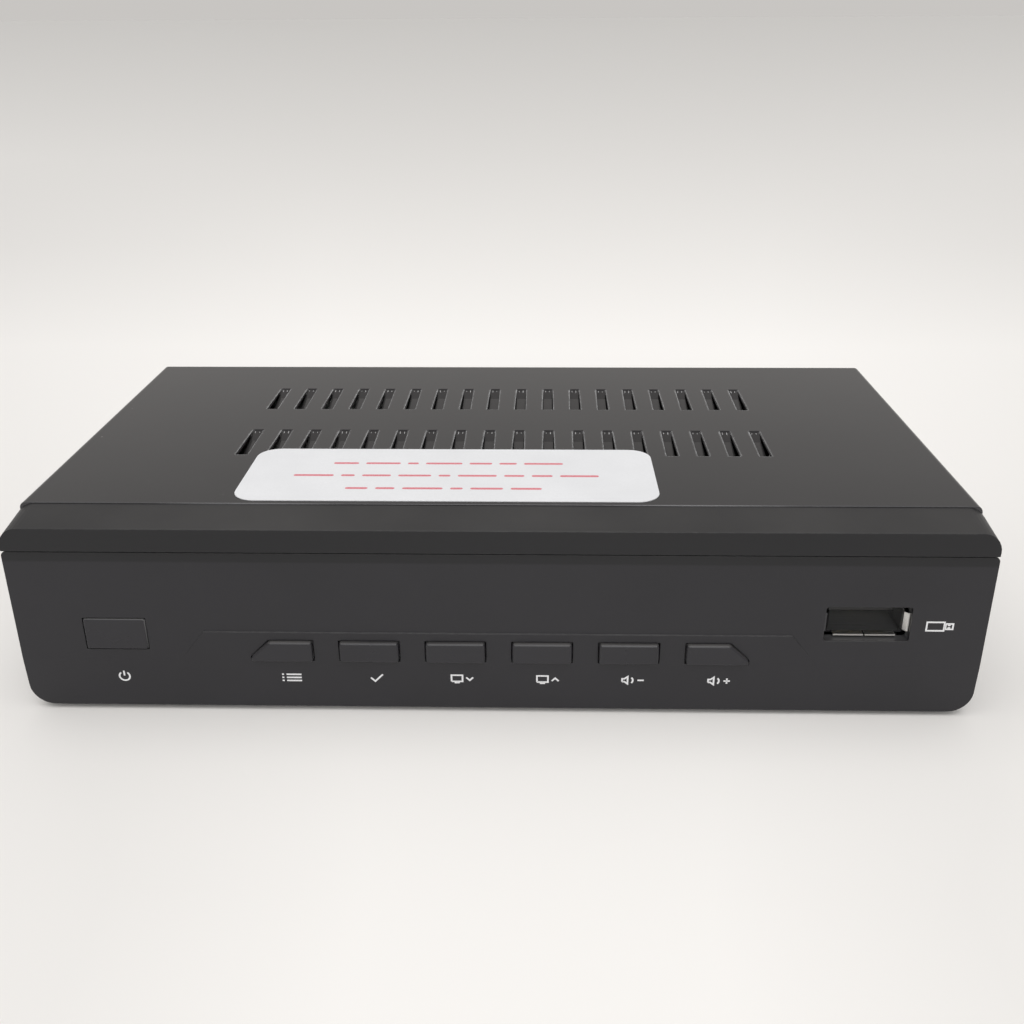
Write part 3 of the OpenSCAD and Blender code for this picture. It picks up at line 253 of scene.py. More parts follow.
def make_painted_wall_light():
    """Mask of painted light on the walls in the front's windows, where a paler colour stands in for light
    reaching into the gaps: what lies deeper than the face, or than the band that leans back below the
    crease, inside the panel's rim, and less of it on what faces up."""
    tree, given, result = new_group("painted_wall_light", [("Depth", 0.00005), ("Run", 0.0001)], ["Mask"])
    place = add(tree, "SeparateXYZ", {0: object_place(tree)}).outputs
    below = math_node(tree, "MAXIMUM", math_node(tree, "SUBTRACT", CREASE_Z, place["Z"]), 0.0)
    face = math_node(tree, "ADD", math_node(tree, "MULTIPLY", below, math.tan(BAND_TILT)), FACE_Y)
    past = math_node(tree, "SUBTRACT", math_node(tree, "SUBTRACT", place["Y"], face), given["Depth"])
    deep = math_node(tree, "DIVIDE", past, given["Run"], clamp=True)
    rim = 4 * MM
    wide = math_node(tree, "LESS_THAN", math_node(tree, "ABSOLUTE", place["X"]), panel_high.x - rim)
    off_floor = math_node(tree, "GREATER_THAN", place["Z"], panel_low.z + rim)
    off_top = math_node(tree, "LESS_THAN", place["Z"], panel_high.z - rim)
    tall = math_node(tree, "MULTIPLY", off_floor, off_top)
    up = add(tree, "SeparateXYZ", {0: add(tree, "NewGeometry").outputs["Normal"]}).outputs["Z"]
    turned = spread(tree, up, 0.3, 0.7, 1.0, 0.25)
    inner = math_node(tree, "MULTIPLY", math_node(tree, "MULTIPLY", wide, tall), turned)
    tree.links.new(math_node(tree, "MULTIPLY", deep, inner), result["Mask"])
    return tree


GRAIN = make_grain()
EDGE_WEAR = make_edge_wear()
DUST = make_dust()
ROLLING = make_rolling()
SPECKS = make_specks()
SOFT_EDGE = make_soft_edge()
PAINTED_WALL_LIGHT = make_painted_wall_light()


def use(tree, group, **values):
    """Places a shared effect in a material with its own values."""
    made = tree.nodes.new("ShaderNodeGroup")
    made.node_tree = group
    for name, value in values.items():
        made.inputs[name.replace("_", " ")].default_value = value
    return made.outputs


def new_material(name, **constants):
    """A material with its one shader: constants are set on the shader's own sockets."""
    material = bpy.data.materials.new(name)
    material.use_nodes = True
    tree = material.node_tree
    shader = tree.nodes["Principled BSDF"]
    for label, value in constants.items():
        shader.inputs[label.replace("_", " ")].default_value = value
    return material, tree, shader.inputs


def bump(tree, shader, height, strength, distance, soft=0.0):
    """Feeds a height into the shader's normal, over edges that turn within the soft radius."""
    made = add(tree, "Bump", {"Height": height, "Strength": strength, "Distance": distance})
    if soft:
        tree.links.new(use(tree, SOFT_EDGE, Radius=soft * MM)["Normal"], made.inputs["Normal"])
    tree.links.new(made.outputs[0], shader["Normal"])


def rgba(colour):
    """A colour with full opacity, also from a single grey value."""
    tones = (colour, colour, colour) if isinstance(colour, float) else colour
    return (*tones, 1.0)


DUST_TONE = (0.42, 0.40, 0.38, 1)
LINT_TONE = (0.5, 0.5, 0.5, 1)


def moulded(name, dark, pale, rough, grain=2600.0, depth=0.02, wear=None, dust_and_sheen=0.0, film=0.3, soft=0.0,
            upper=(), wall_light=None, **constants):
    """Plastic, rubber or paint: colour wanders between two tones, with grain in bump and roughness,
    edges rubbed to a paler tone (its share, grey, reach in millimetres and gaps) and dust on what faces up,
    which, turned up, also lightens the tops of keys and ledges as a painted highlight.
    What lies above each height in upper has the tone given there. The argument for the window walls gives
    the depth at which the sides of windows begin to turn paler, over how far, and to which tone: painted
    light that lifts the shade in the gaps."""
    material, tree, shader = new_material(name, **constants)
    skin = use(tree, GRAIN, Scale=grain)
    colour = blend(tree, skin["Mottle"], rgba(dark), rgba(pale))
    level = add(tree, "SeparateXYZ", {0: object_place(tree)}).outputs["Z"]
    # Tones above given heights: on the front panel these are painted shade at its top strip and visor
    for height, tone, run in upper:
        above = spread(tree, level, height - run * MM, height + run * MM, 0.0, 1.0)
        colour = blend(tree, above, colour, rgba(tone))
    roughness = spread(tree, skin["Mottle"], 0.0, 1.0, rough - 0.05, rough + 0.05)
    if wear:
        share, grey, reach, gaps = wear
        worn = use(tree, EDGE_WEAR, Radius=reach * MM, Gaps=gaps)["Mask"]
        colour = blend(tree, math_node(tree, "MULTIPLY", worn, share), colour, rgba(grey))
    # Dust on what faces up; turned up on panel and keys it also lightens ledges and key tops as a painted
    # highlight
    if dust_and_sheen:
        lint = math_node(tree, "MULTIPLY", use(tree, SPECKS)["Mask"], 0.5)
        colour = blend(tree, lint, colour, LINT_TONE)
        settled = math_node(tree, "MULTIPLY", use(tree, DUST, Film=film)["Mask"], dust_and_sheen)
        colour = blend(tree, settled, colour, DUST_TONE)
        roughness = math_node(tree, "ADD", roughness, math_node(tree, "MULTIPLY", settled, 0.4), clamp=True)
    # Painted light: the walls of the windows turn paler to lift the shade in the gaps
    if wall_light:
        start, run, tone = wall_light
        inside = use(tree, PAINTED_WALL_LIGHT, Depth=start * MM, Run=run * MM)["Mask"]
        colour = blend(tree, inside, colour, rgba(tone))
    tree.links.new(colour, shader["Base Color"])
    tree.links.new(roughness, shader["Roughness"])
    bump(tree, shader, skin["Height"], 0.35, depth * MM, soft)
    return material


def plated(name, dark, pale, rough, across=4000.0, along=60.0, depth=0.004, **constants):
    """Bare or plated metal: rolling lines in bump and roughness, faint stains in the colour."""
    material, tree, shader = new_material(name, Metallic=1.0, **constants)
    sheet = use(tree, ROLLING, Across=across, Along=along)
    tree.links.new(blend(tree, sheet["Stain"], rgba(pale), rgba(dark)), shader["Base Color"])
    tree.links.new(spread(tree, sheet["Height"], 0.3, 0.7, rough - 0.08, rough + 0.08), shader["Roughness"])
    bump(tree, shader, sheet["Height"], 0.25, depth * MM)
    return material


def cover_paint():
    """Black paint on the outer side of a zinc-grey sheet: a satin skin, thin dust and lint, more dust on
    the tabs, and upper edges rubbed down to the sheet, most of all round the slots. The front cut edge is
    pale bare sheet, brightest at two places where a painted highlight stands in for a lamp's glint. The
    underside is left bare."""
    material, tree, shader = new_material("cover_paint", Specular_Tint=(1.0, 0.965, 1.0, 1.0))
    skin = use(tree, GRAIN, Scale=2200.0)
    paint = blend(tree, skin["Mottle"], (0.003, 0.003, 0.004, 1), (0.005, 0.005, 0.006, 1))
    place = add(tree, "SeparateXYZ", {0: object_place(tree)}).outputs
    upper = spread(tree, place["Z"], cover_high.z - 0.3 * MM, cover_high.z - 0.15 * MM, 0.0, 1.0)
    share = spread(tree, place["Y"], cover_low.y + 2 * MM, cover_low.y + 4 * MM, 0.1, 1.0)
    rubbed = math_node(tree, "MULTIPLY", use(tree, EDGE_WEAR, Radius=0.55 * MM, Gaps=0.1)["Mask"], upper)
    worn = math_node(tree, "MULTIPLY", rubbed, share)
    facing = add(tree, "SeparateXYZ", {0: add(tree, "NewGeometry").outputs["Normal"]}).outputs["Z"]
    sunk = math_node(tree, "LESS_THAN", place["Z"], cover_high.z - 0.2 * MM)
    tabs = math_node(tree, "MULTIPLY", sunk, math_node(tree, "GREATER_THAN", facing, 0.5))
    film = math_node(tree, "MULTIPLY", use(tree, DUST)["Mask"], 0.06)
    settled = math_node(tree, "MAXIMUM", film, math_node(tree, "MULTIPLY", tabs, 0.055))
    lint = math_node(tree, "MULTIPLY", use(tree, SPECKS)["Mask"], 0.4)
    dusty = blend(tree, math_node(tree, "MAXIMUM", settled, lint), paint, DUST_TONE)
    bare = (0.52, 0.52, 0.53, 1)
    # Painted highlight: the front cut edge is pale bare sheet, lightened most where a lamp would glint on it
    along = math_node(tree, "SUBTRACT", place["X"], LIP_GLINT_X)
    wave = math_node(tree, "COSINE", math_node(tree, "MULTIPLY", along, 2 * math.pi / LIP_GLINT_WAVE))
    front = spread(tree, place["Y"], cover_low.y + 0.1 * MM, cover_low.y + 0.2 * MM, 1.0, 0.0)
    lip_glint = math_node(tree, "MULTIPLY", front, spread(tree, wave, 0.2, 1.0, 0.06, 0.2))
    rim = blend(tree, math_node(tree, "MAXIMUM", worn, lip_glint), dusty, bare)
    inside = math_node(tree, "LESS_THAN", facing, -0.5)
    tree.links.new(blend(tree, inside, rim, (0.60, 0.61, 0.62, 1)), shader["Base Color"])
    tree.links.new(spread(tree, skin["Mottle"], 0.0, 1.0, 0.12, 0.18), shader["Roughness"])
    bump(tree, shader, skin["Height"], 0.3, 0.005 * MM)
    return material


def socket_steel():
    """Nickel-plated sheet: rolling lines and faint stains. At the front socket the upper and left lips are
    darkened as painted shade and the sheared edges of the mouth are painted dark too, and the tube behind
    the mouth is dull tin, darkest near the mouth."""
    material, tree, shader = new_material("socket_steel")
    sheet = use(tree, ROLLING)
    place = add(tree, "SeparateXYZ", {0: object_place(tree)}).outputs
    inward = math_node(tree, "SUBTRACT", place["Y"], SOCKET_MOUTH_Y)
    sheared = math_node(tree, "LESS_THAN", math_node(tree, "ABSOLUTE", inward), 0.03 * MM)
    # Painted shade on the upper and left lips; the sheared edges of the mouth are painted dark
    left = math_node(tree, "LESS_THAN", place["X"], SOCKET_X - 6.1 * MM)
    top = math_node(tree, "GREATER_THAN", place["Z"], SOCKET_Z + 2.4 * MM)
    lips = math_node(tree, "LESS_THAN", inward, 0.0)
    shaded = math_node(tree, "MULTIPLY", lips, math_node(tree, "MAXIMUM", left, top))
    dark = math_node(tree, "MAXIMUM", sheared, shaded)
    near = math_node(tree, "LESS_THAN", inward, SOCKET_L)
    tube = math_node(tree, "MULTIPLY", math_node(tree, "GREATER_THAN", inward, 0.03 * MM), near)
    nickel = blend(tree, sheet["Stain"], (0.95, 0.94, 0.91, 1), (0.80, 0.79, 0.76, 1))
    nickel_shaded = blend(tree, dark, nickel, (0.08, 0.08, 0.085, 1))
    deep = spread(tree, inward, 0.5 * MM, 7 * MM, 0.0, 1.0)
    tin = blend(tree, deep, rgba(0.065), rgba(0.25))
    tree.links.new(blend(tree, tube, nickel_shaded, tin), shader["Base Color"])
    tree.links.new(math_node(tree, "SUBTRACT", 1.0, tube), shader["Metallic"])
    tree.links.new(spread(tree, sheet["Height"], 0.3, 0.7, 0.26, 0.42), shader["Roughness"])
    bump(tree, shader, sheet["Height"], 0.25, 0.004 * MM)
    return material


def label_paper():
    """White label stock: crossing paper fibres in the tone and bump, and a faint grey cast."""
    material, tree, shader = new_material("label_paper", Specular_IOR_Level=0.35)
    fibres = noise(tree, 2400.0, 6.0, 0.7)
    cast = noise(tree, 90.0, 2.0)
    tone = math_node(tree, "MULTIPLY", fibres, cast)
    clean = spread(tree, tone, 0.1, 0.45, 0.0, 1.0)
    stock = blend(tree, clean, (0.76, 0.76, 0.77, 1), (0.825, 0.825, 0.835, 1))
    tree.links.new(stock, shader["Base Color"])
    tree.links.new(spread(tree, fibres, 0.3, 0.7, 0.45, 0.6), shader["Roughness"])
    bump(tree, shader, fibres, 0.2, 0.01 * MM)
    return material


def board_laminate():
    """Circuit board: green resist over copper tracks, the walls between cells of a square lattice."""
    material, tree, shader = new_material("board_laminate", Coat_Weight=0.3, Coat_Roughness=0.2)
    values = {"Vector": object_place(tree), "Scale": 420.0, "Randomness": 0.6}
    cells = add(tree, "TexVoronoi", values, distance="CHEBYCHEV", feature="F1").outputs["Distance"]
    tracks = spread(tree, cells, 0.42, 0.46, 0.0, 1.0)
    pads = spread(tree, cells, 0.1, 0.08, 0.0, 1.0)
    resist = blend(tree, tracks, (0.010, 0.075, 0.030, 1), (0.025, 0.155, 0.060, 1))
    tree.links.new(blend(tree, pads, resist, (0.62, 0.60, 0.55, 1)), shader["Base Color"])
    tree.links.new(spread(tree, noise(tree, 300.0), 0.3, 0.7, 0.3, 0.42), shader["Roughness"])
    bump(tree, shader, tracks, 0.3, 0.03 * MM)
    return material


def ribbon_sleeve():
    """Ribbon cable: one ridge for each wire across its width, with one marked wire at its side."""
    material, tree, shader = new_material("ribbon_sleeve")
    across = add(tree, "SeparateXYZ", {0: object_place(tree)}).outputs["X"]
    wave = math_node(tree, "SINE", math_node(tree, "MULTIPLY", across, 2 * math.pi / (1.27 * MM)))
    marked = math_node(tree, "GREATER_THAN", across, 4.9 * MM)
    grey = blend(tree, noise(tree, 300.0), (0.42, 0.42, 0.40, 1), (0.52, 0.52, 0.50, 1))
    tree.links.new(blend(tree, marked, grey, (0.45, 0.05, 0.04, 1)), shader["Base Color"])
    tree.links.new(spread(tree, wave, -1.0, 1.0, 0.42, 0.55), shader["Roughness"])
    bump(tree, shader, wave, 0.8, 0.2 * MM)
    return material


def capacitor_sleeve():
    """Shrink sleeve of a capacitor: dark blue, with the bare crown of its can on top."""
    material, tree, shader = new_material("capacitor_sleeve", Coat_Weight=0.4, Coat_Roughness=0.15)
    up = add(tree, "SeparateXYZ", {0: add(tree, "NewGeometry").outputs["Normal"]}).outputs["Z"]
    crown = math_node(tree, "GREATER_THAN", up, 0.9)
    sleeve = blend(tree, noise(tree, 250.0), (0.012, 0.016, 0.05, 1), (0.02, 0.026, 0.075, 1))
    tree.links.new(blend(tree, crown, sleeve, (0.6, 0.6, 0.62, 1)), shader["Base Color"])
    tree.links.new(crown, shader["Metallic"])
    tree.links.new(spread(tree, noise(tree, 900.0, 4.0), 0.3, 0.7, 0.28, 0.4), shader["Roughness"])
    return material


def legend_ink():
    """Screen-printed ink: pale grey that thins a little where the mesh of the screen shows."""
    material, tree, shader = new_material("legend_ink", Specular_IOR_Level=0.3)
    screen = noise(tree, 5200.0, 3.0, 0.7)
    full = spread(tree, screen, 0.3, 0.6, 0.0, 1.0)
    ink = blend(tree, full, (0.60, 0.60, 0.61, 1), (0.8, 0.8, 0.81, 1))
    tree.links.new(ink, shader["Base Color"])
    tree.links.new(spread(tree, screen, 0.3, 0.7, 0.45, 0.6), shader["Roughness"])
    bump(tree, shader, screen, 0.2, 0.01 * MM)
    return material


def label_ink():
    """Red printing on paper, a little uneven."""
    material, tree, shader = new_material("label_ink", Specular_IOR_Level=0.3)
    spots = noise(tree, 3800.0, 4.0, 0.7)
    uneven = spread(tree, spots, 0.35, 0.65, 0.0, 1.0)
    ink = blend(tree, uneven, (0.62, 0.12, 0.15, 1), (0.78, 0.33, 0.36, 1))
    tree.links.new(ink, shader["Base Color"])
    tree.links.new(spread(tree, spots, 0.3, 0.7, 0.5, 0.6), shader["Roughness"])
    return material


# Tones of the front's black plastic; the panel's top strip is darker as painted shade under the visor's
# overhang, and the visor above it is darker still, also painted shade
PANEL_DARK = (0.0136, 0.0130, 0.0158)
PANEL_PALE = (0.0164, 0.0157, 0.0189)
KEY_DARK = (0.0160, 0.0154, 0.0186)
KEY_PALE = (0.0191, 0.0184, 0.0219)
UPPER_SHADE_TONES = (
    (panel_high.z - 1.7 * MM, (0.0070, 0.0070, 0.0085), 0.2),
    (panel_high.z + 0.1 * MM, (0.0060, 0.0060, 0.0075), 0.02),
)
MATERIALS = {
    # Panel: upper tones are painted shade, window walls painted light, raised dust partly a painted
    # highlight on ledges
    "panel_plastic": moulded("panel_plastic", PANEL_DARK, PANEL_PALE, 0.42, 3600.0, 0.012,
                             wear=(0.25, 0.08, 0.4, 0.42), dust_and_sheen=0.055, film=2.0, soft=0.25,
                             upper=UPPER_SHADE_TONES, wall_light=(0.3, 1.2, 0.14), Specular_IOR_Level=0.42),
    # Keys: raised dust is partly a painted highlight along the top edges, paler gap walls are painted light
    "key_plastic": moulded("key_plastic", KEY_DARK, KEY_PALE, 0.29, 4200.0, 0.008,
                           wear=(0.4, 0.10, 0.3, 0.46), dust_and_sheen=0.15, film=2.0, wall_light=(-0.12, 0.1, 0.2),
                           Specular_IOR_Level=0.42),
    "cover_paint": cover_paint(),
    "label_paper": label_paper(),
    "tray_steel": plated("tray_steel", (0.42, 0.43, 0.44), (0.56, 0.57, 0.58), 0.38),
    "foot_rubber": moulded("foot_rubber", 0.014, 0.022, 0.8, 1800.0, 0.03),
    "switch_plastic": moulded("switch_plastic", 0.02, 0.028, 0.5),
    "board_laminate": board_laminate(),
    "plated_steel": plated("plated_steel", (0.5, 0.51, 0.52), (0.64, 0.65, 0.66), 0.3),
    "socket_steel": socket_steel(),
    "socket_plastic": moulded("socket_plastic", 0.014, 0.018, 0.42),
    "contact_brass": plated("contact_brass", (0.62, 0.43, 0.15), (0.82, 0.6, 0.25), 0.26),
    "sensor_resin": moulded("sensor_resin", 0.012, 0.016, 0.18, depth=0.002, Coat_Weight=0.4),
    "lamp_resin": moulded("lamp_resin", (0.28, 0.012, 0.010), (0.36, 0.02, 0.016), 0.2, depth=0.002),
    "header_plastic": moulded("header_plastic", (0.62, 0.59, 0.51), (0.7, 0.67, 0.59), 0.5),
    "ribbon_sleeve": ribbon_sleeve(),
    "insulator_plastic": moulded("insulator_plastic", (0.66, 0.64, 0.58), (0.74, 0.72, 0.66), 0.5),
    "yellow_plastic": moulded("yellow_plastic", (0.62, 0.40, 0.02), (0.72, 0.48, 0.03), 0.35, depth=0.006),
    "white_plastic": moulded("white_plastic", (0.70, 0.70, 0.68), (0.78, 0.78, 0.76), 0.35, depth=0.006),
    "red_plastic": moulded("red_plastic", (0.38, 0.016, 0.012), (0.46, 0.026, 0.02), 0.35, depth=0.006),
    "chip_resin": moulded("chip_resin", 0.014, 0.02, 0.6),
    "heatsink_aluminium": plated("heatsink_aluminium", (0.5, 0.51, 0.53), (0.66, 0.67, 0.69), 0.34,
                                 5000.0, 5000.0),
    "capacitor_sleeve": capacitor_sleeve(),
    "coil_ferrite": moulded("coil_ferrite", 0.035, 0.055, 0.6, 1500.0, 0.04),
    "black_screw": moulded("black_screw", 0.016, 0.024, 0.38, wear=(0.6, 0.1, 0.4, 0.42)),
}


def dress_nodes():
    """Gives each CAD node the finish of its slot in the record."""
    for part in frame["record"]["subparts"]:
        mesh = nodes[part["node"]].data
        mesh.materials.clear()
        mesh.materials.append(MATERIALS[part["material_slot"]])


# Rounding of visible edges, in millimetres
EDGE_ROUNDING = {
    "visor": 0.08,
    "top_cover": 0.15,
    "chassis_tray": 0.12,
    "rubber_feet": 0.4,
    "front_socket_tongue": 0.15,
    "power_socket": 0.25,
    "aerial_in_barrel": 0.15,
    "aerial_out_barrel": 0.15,
    "av_rings": 0.1,
    "cover_screws": 0.2,
    "panel_screws": 0.2,
}
KEY_ROUNDING = {"standby": 0.35}
ROW_ROUNDING = 0.48


def round_edges(name, width):
    """Joins the node's loose triangles and rounds its sharp edges."""
    node = nodes[name]
    weld = node.modifiers.new("join", "WELD")
    weld.merge_threshold = 0.002 * MM
    flat = node.modifiers.new("flats", "DECIMATE")
    flat.decimate_type = "DISSOLVE"
    flat.angle_limit = math.radians(0.5)
    rounding = node.modifiers.new("rounding", "BEVEL")
    rounding.width = width * MM
    rounding.segments = 3
    rounding.limit_method = "ANGLE"
    rounding.angle_limit = math.radians(30)
    rounding.use_clamp_overlap = False
    rounding.harden_normals = True


def grid_mesh(name, points, material):
    """Turns a grid of points (rows, columns, 3) into a mesh of quads."""
    rows, columns = points.shape[:2]
    index = np.arange(rows * columns).reshape(rows, columns)
    quads = np.stack((index[:-1, :-1], index[:-1, 1:], index[1:, 1:], index[1:, :-1]), -1).reshape(-1, 4)
    mesh = bpy.data.meshes.new(name)
    mesh.from_pydata(points.reshape(-1, 3).tolist(), [], quads.tolist())
    mesh.materials.append(material)
    piece = bpy.data.objects.new(name, mesh)
    bpy.context.scene.collection.objects.link(piece)
    return piece


def stadium(length, height, steps=8):
    """Outline of a round-ended stroke: two half circles joined by straight sides, counter-clockwise."""
    turn = np.linspace(-0.5 * np.pi, 0.5 * np.pi, steps)
    radius = height / 2
    reach = max(length / 2 - radius, 0.0)
    right = np.stack((reach + radius * np.cos(turn), radius * np.sin(turn)), -1)
    return np.vstack((right, -right))


def thin_plates(name, outlines, thickness, material):
    """Thin printed plates: each outline is a fan about its centre, once below and once above,
    joined by a wall round the rim."""
    points = []
    faces = []
    start = 0
    for outline in outlines:
        count = len(outline)
        low = np.column_stack((outline, np.zeros(count)))
        high = np.column_stack((outline, np.full(count, thickness)))
        points.append(np.vstack((low, high)))
        ring = np.arange(count)
        after = (ring + 1) % count
        faces += [list(start + count + ring), list(start + ring[::-1])]
        faces += (start + np.stack((ring, after, after + count, ring + count), -1)).tolist()
        start += 2 * count
    mesh = bpy.data.meshes.new(name)
    mesh.from_pydata(np.vstack(points).tolist(), [], [[int(i) for i in face] for face in faces])
    mesh.materials.append(material)
    return mesh


def place_piece(name, mesh, turn, body):
    """Moves a flat mesh to its place in the frame and lets it ride on a body."""
    mesh.transform(turn)
    mesh.update()
    piece = bpy.data.objects.new(name, mesh)
    bpy.context.scene.collection.objects.link(piece)
    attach(piece, body)
    return piece


def on_front(x, y, z, tilt):
    """Frame of a print on the front: its X runs right, its Y up the face, its Z out of the face."""
    right = Vector((1, 0, 0))
    up = Vector((0, -math.sin(tilt), math.cos(tilt)))
    out = right.cross(up)
    turn = Matrix((right, up, out)).transposed().to_4x4()
    turn.translation = Vector((x, y, z))
    return turn


def stroke_outline(path, width):
    """Outline of a line of even width: the path moved by half the width to each side along the mean
    normal of its two neighbours, lengthened at a corner so that the width holds."""
    points = np.asarray(path, float)
    steps = np.diff(points, axis=0)
    steps /= np.linalg.norm(steps, axis=1)[:, None]
    before = np.vstack((steps[:1], steps))
    after = np.vstack((steps, steps[-1:]))
    mean = before + after
    mean /= np.linalg.norm(mean, axis=1)[:, None]
    normal = np.stack((-mean[:, 1], mean[:, 0]), -1)
    reach = width / 2 / np.sum(mean * after, axis=1)
    side = normal * reach[:, None]
    return np.vstack((points - side, (points + side)[::-1]))


def print_marks(ink):
    """Prints each key's mark under it, on the lower band that leans back from the crease."""
    y = FACE_Y + (CREASE_Z - MARK_Z) * math.tan(BAND_TILT)
    for key, strokes in MARKS.items():
        low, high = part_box(key + "_button")
        outlines = [stroke_outline(path, MARK_STROKE) * MM for path in strokes]
        mesh = thin_plates("mark_" + key, outlines, INK_T, ink)
        x = (low.x + high.x) / 2 + MARK_SHIFT.get(key, ROW_SHIFT)
        place_piece("mark_" + key, mesh, on_front(x, y, MARK_Z, BAND_TILT), "case")


def frame_outline(width, height, stroke):
    """Four strokes round a rectangle, as outlines about the origin."""
    half_w = width / 2
    half_h = height / 2
    bars = [
        (-half_w, -half_h, half_w, -half_h + stroke),
        (-half_w, half_h - stroke, half_w, half_h),
        (-half_w, -half_h + stroke, -half_w + stroke, half_h - stroke),
        (half_w - stroke, -half_h + stroke, half_w, half_h - stroke),
    ]
    return [np.array(((a, b), (c, b), (c, d), (a, d))) for a, b, c, d in bars]


def print_stick_sign(ink):
    """Prints a plain memory stick beside its socket: a long body, its narrower plug and two contacts."""
    stroke = 0.28 * MM
    body = [bar + np.array((-0.9 * MM, 0)) for bar in frame_outline(3.2 * MM, 1.9 * MM, stroke)]
    plug = [bar + np.array((1.4 * MM, 0)) for bar in frame_outline(1.5 * MM, 1.3 * MM, stroke)]
    contacts = [stadium(0.5 * MM, stroke) + np.array((1.35 * MM, side * 0.25 * MM)) for side in (-1, 1)]
    mesh = thin_plates("stick_sign", body + plug + contacts, INK_T, ink)
    place_piece("stick_sign", mesh, on_front(*STICK_SIGN_AT, 0.0), "case")


def print_label(ink):
    """Prints plain strokes on the label: rows of round-ended dashes whose lengths follow a sine."""
    width = label_high.x - label_low.x
    depth = label_high.y - label_low.y
    centre_x = (label_high.x + label_low.x) / 2
    stroke = 0.75 * MM
    gap = 1.3 * MM
    outlines = []
    for row, (share, back) in enumerate(((0.62, 0.70), (0.78, 0.46), (0.5, 0.22))):
        lengths = (4.6 + 2.6 * np.sin(2.4 * np.arange(24) + 1.7 * row)) * MM
        ends = np.cumsum(lengths + gap)
        kept = ends[ends < share * width]
        shift = -kept[-1] / 2
        for length, end in zip(lengths, kept):
            middle = np.array((shift + end - gap - length / 2, (back - 0.5) * depth))
            outlines.append(stadium(length, stroke) + middle)
    mesh = thin_plates("label_strokes", outlines, INK_T, ink)
    turn = Matrix.Translation(Vector((centre_x, (label_low.y + label_high.y) / 2, label_high.z)))
    place_piece("label_strokes", mesh, turn, "case")


def add_vent_glint_domes(metal):
    """Small bumps of bare steel on each tab, two to a slot, whose bright metal is a painted highlight for
    the glints where the tab
    bends: half ellipsoids, the cosine of one angle times the cosine and sine of the other in plan and the
    sine of the first in height, sheared to the slope. Their sizes follow a sine along the rows."""
    rise = np.linspace(0, 0.5 * np.pi, 4)
    turn = np.linspace(0, 2 * np.pi, 10, endpoint=False)
    up, around = np.meshgrid(rise, turn, indexing="ij")
    dome = np.stack((np.cos(up) * np.cos(around), np.cos(up) * np.sin(around), np.sin(up)), -1)
    dome *= np.array((0.12, 0.38, 0.07)) * MM
    dome[..., 2] += dome[..., 1] * VENT_SLOPE
    x = VENT_X + (np.arange(VENT_N) - (VENT_N - 1) / 2) * VENT_PITCH
    sides = np.array((-0.42, 0.42)) * MM
    ahead = 0.9 * MM
    place_x, place_side, place_y = np.meshgrid(x, sides, np.array(VENT_BACKS) - ahead, indexing="ij")
    height = np.full(place_x.shape, cover_high.z - ahead * VENT_SLOPE)
    places = np.stack((place_x + place_side, place_y, height), -1).reshape(-1, 1, 1, 3)
    sizes = 0.75 + 0.25 * np.sin(2.3 * np.arange(len(places)))
    domes = places + sizes[:, None, None, None] * dome
    index = np.arange(domes[..., 0].size).reshape(domes.shape[:3])
    index = np.concatenate((index, index[:, :, :1]), 2)
    quads = np.stack((index[:, :-1, :-1], index[:, :-1, 1:], index[:, 1:, 1:], index[:, 1:, :-1]), -1)
    mesh = bpy.data.meshes.new("vent_glint_domes")
    mesh.from_pydata(domes.reshape(-1, 3).tolist(), [], quads.reshape(-1, 4).tolist())
    mesh.materials.append(metal)
    place_piece("vent_glint_domes", mesh, Matrix.Identity(4), "case")


def floor_material():
    """Pale paper sweep: its tone falls with the distance behind the case, painted in place of light that
    falls off, and near the case it darkens to the sides as painted shadow.
    """
    material, tree, shader = new_material("pale_sweep", Roughness=0.8, Specular_IOR_Level=0.1)
    place = add(tree, "SeparateXYZ", {0: object_place(tree)}).outputs
    # Painted light falloff: the tone falls with distance behind the case
    ahead = math_node(tree, "SUBTRACT", place["Y"], CAMERA_AT.y)
    distance = math_node(tree, "MAXIMUM", ahead, NEAR_M)
    nearness = math_node(tree, "DIVIDE", NEAR_M, distance)
    sweep = blend(tree, nearness, FLOOR_FAR, FLOOR_NEAR)
    # Painted shadow: near the case the floor darkens to the sides
    aside = math_node(tree, "ABSOLUTE", math_node(tree, "SUBTRACT", place["X"], CAMERA_AT.x))
    share = math_node(tree, "DIVIDE", aside, math_node(tree, "MAXIMUM", ahead, SIDE_SHADE_NEAR_M))
    close = spread(tree, ahead, SIDE_SHADE_ENDS_M[0], SIDE_SHADE_ENDS_M[1], 1.0, 0.0)
    begins, ends, depth = SIDE_SHADE
    painted_side_shade = math_node(tree, "MULTIPLY", spread(tree, share, begins, ends, 0.0, depth), close)
    tree.links.new(blend(tree, painted_side_shade, sweep, (0, 0, 0, 1)), shader["Base Color"])
    return material


def lay_floor():
    """A flat grid under the case, wide enough to reach the horizon."""
    side = np.linspace(-FLOOR_REACH, FLOOR_REACH, 5)
    x, y = np.meshgrid(side, side)
    floor = grid_mesh("pale_floor", np.stack((x, y, np.zeros_like(x)), -1), floor_material())


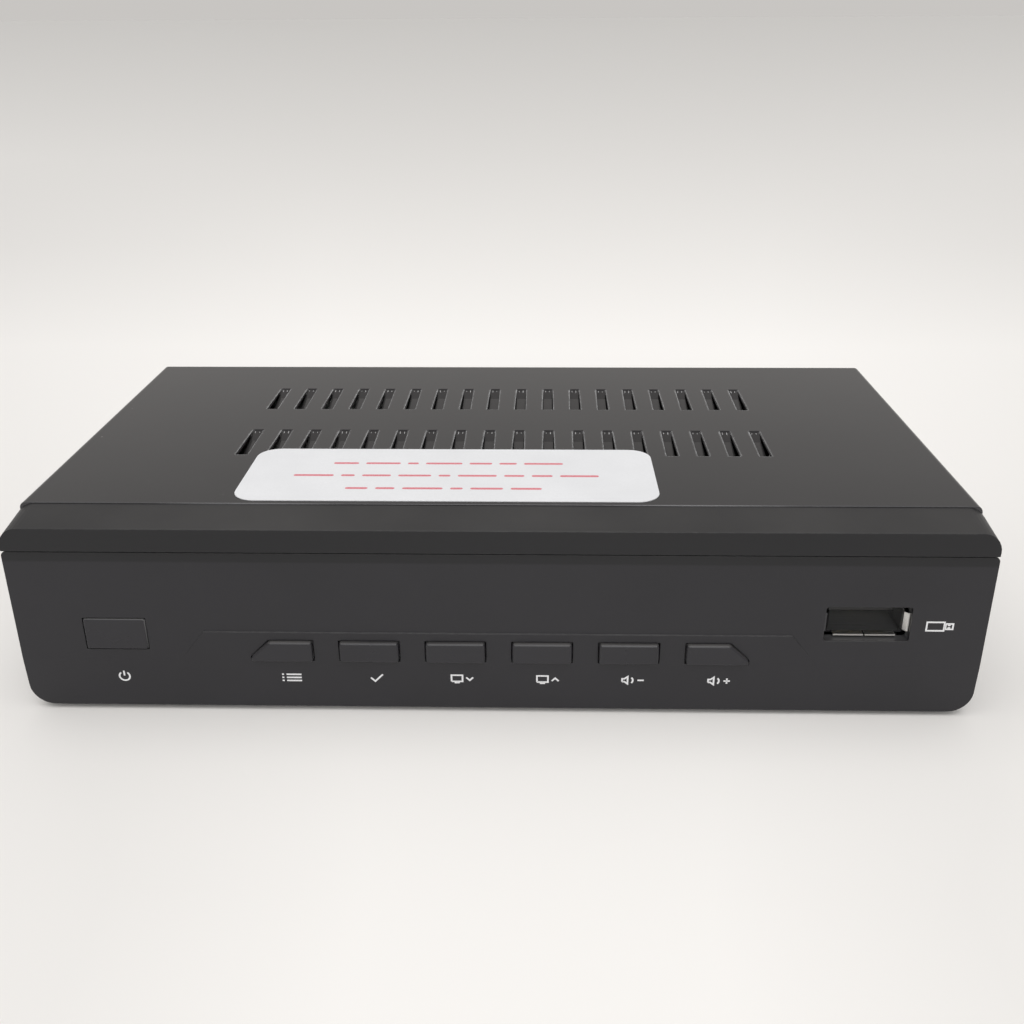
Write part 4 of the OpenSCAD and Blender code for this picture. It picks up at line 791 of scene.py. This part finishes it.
def set_world():
    """Even white light from all round; past the floor shows the backdrop, which darkens to a ceiling."""
    world = bpy.data.worlds.new("soft_room")
    bpy.context.scene.world = world
    world.use_nodes = True
    tree = world.node_tree
    tree.nodes.clear()
    light = add(tree, "Background", {"Color": (1, 1, 1, 1), "Strength": SKY_LEVEL})
    rise = add(tree, "SeparateXYZ", {0: add(tree, "TexCoord").outputs["Generated"]}).outputs["Z"]
    room = blend(tree, spread(tree, rise, 0.27, 0.9, 0.0, 1.0), BACKDROP, CEILING)
    seen = add(tree, "Background", {"Color": room, "Strength": 1.0})
    path = add(tree, "LightPath").outputs
    mirrored = math_node(tree, "MAXIMUM", path["Is Glossy Ray"], path["Is Transmission Ray"])
    shown = math_node(tree, "MAXIMUM", path["Is Camera Ray"], mirrored)
    both = add(tree, "MixShader", {0: shown, 1: light.outputs[0], 2: seen.outputs[0]})
    output = tree.nodes.new("ShaderNodeOutputWorld")
    tree.links.new(both.outputs[0], output.inputs["Surface"])


def hang_lamp(name, lean, settings):
    """A lamp far away, leaning from straight above towards the front and then to the right."""
    lamp = bpy.data.lights.new(name, "SUN")
    for label, value in settings.items():
        setattr(lamp, label, value)
    hung = bpy.data.objects.new(name, lamp)
    hung.rotation_euler = (lean[0], lean[1], 0)
    bpy.context.scene.collection.objects.link(hung)


def aim_camera():
    """Level look along +Y, pitched down, turned about +Z and rolled about the line of sight."""
    lens = bpy.data.cameras.new("photo_camera")
    lens.sensor_fit = "HORIZONTAL"
    lens.sensor_width = SENSOR_MM
    lens.lens = SENSOR_MM * FOCAL_PX / IMAGE_PX
    lens.clip_start = 0.01
    lens.clip_end = 200.0
    camera = bpy.data.objects.new("photo_camera", lens)
    turn = Matrix.Rotation(CAMERA_YAW, 4, "Z")
    turn @= Matrix.Rotation(math.pi / 2 - CAMERA_PITCH, 4, "X")
    turn @= Matrix.Rotation(CAMERA_ROLL, 4, "Z")
    camera.matrix_world = Matrix.Translation(CAMERA_AT) @ turn
    bpy.context.scene.collection.objects.link(camera)
    bpy.context.scene.camera = camera


aim_camera()
set_world()
hang_lamp("high_lamp", HIGH_LEAN, HIGH_LAMP)
hang_lamp("edge_lamp", EDGE_LEAN, EDGE_LAMP)
hang_lamp("front_lamp", FRONT_LEAN, FRONT_LAMP)
lay_floor()
dress_nodes()
for name, width in EDGE_ROUNDING.items():
    round_edges(name, width)
for key in MARKS:
    round_edges(key + "_button", KEY_ROUNDING.get(key, ROW_ROUNDING))
mark_ink = legend_ink()
print_marks(mark_ink)
print_stick_sign(mark_ink)
print_label(label_ink())
add_vent_glint_domes(plated("glint_dome_steel", (0.48, 0.48, 0.49), (0.62, 0.62, 0.63), 0.36))
bpy.context.scene.view_settings.view_transform = "Standard"
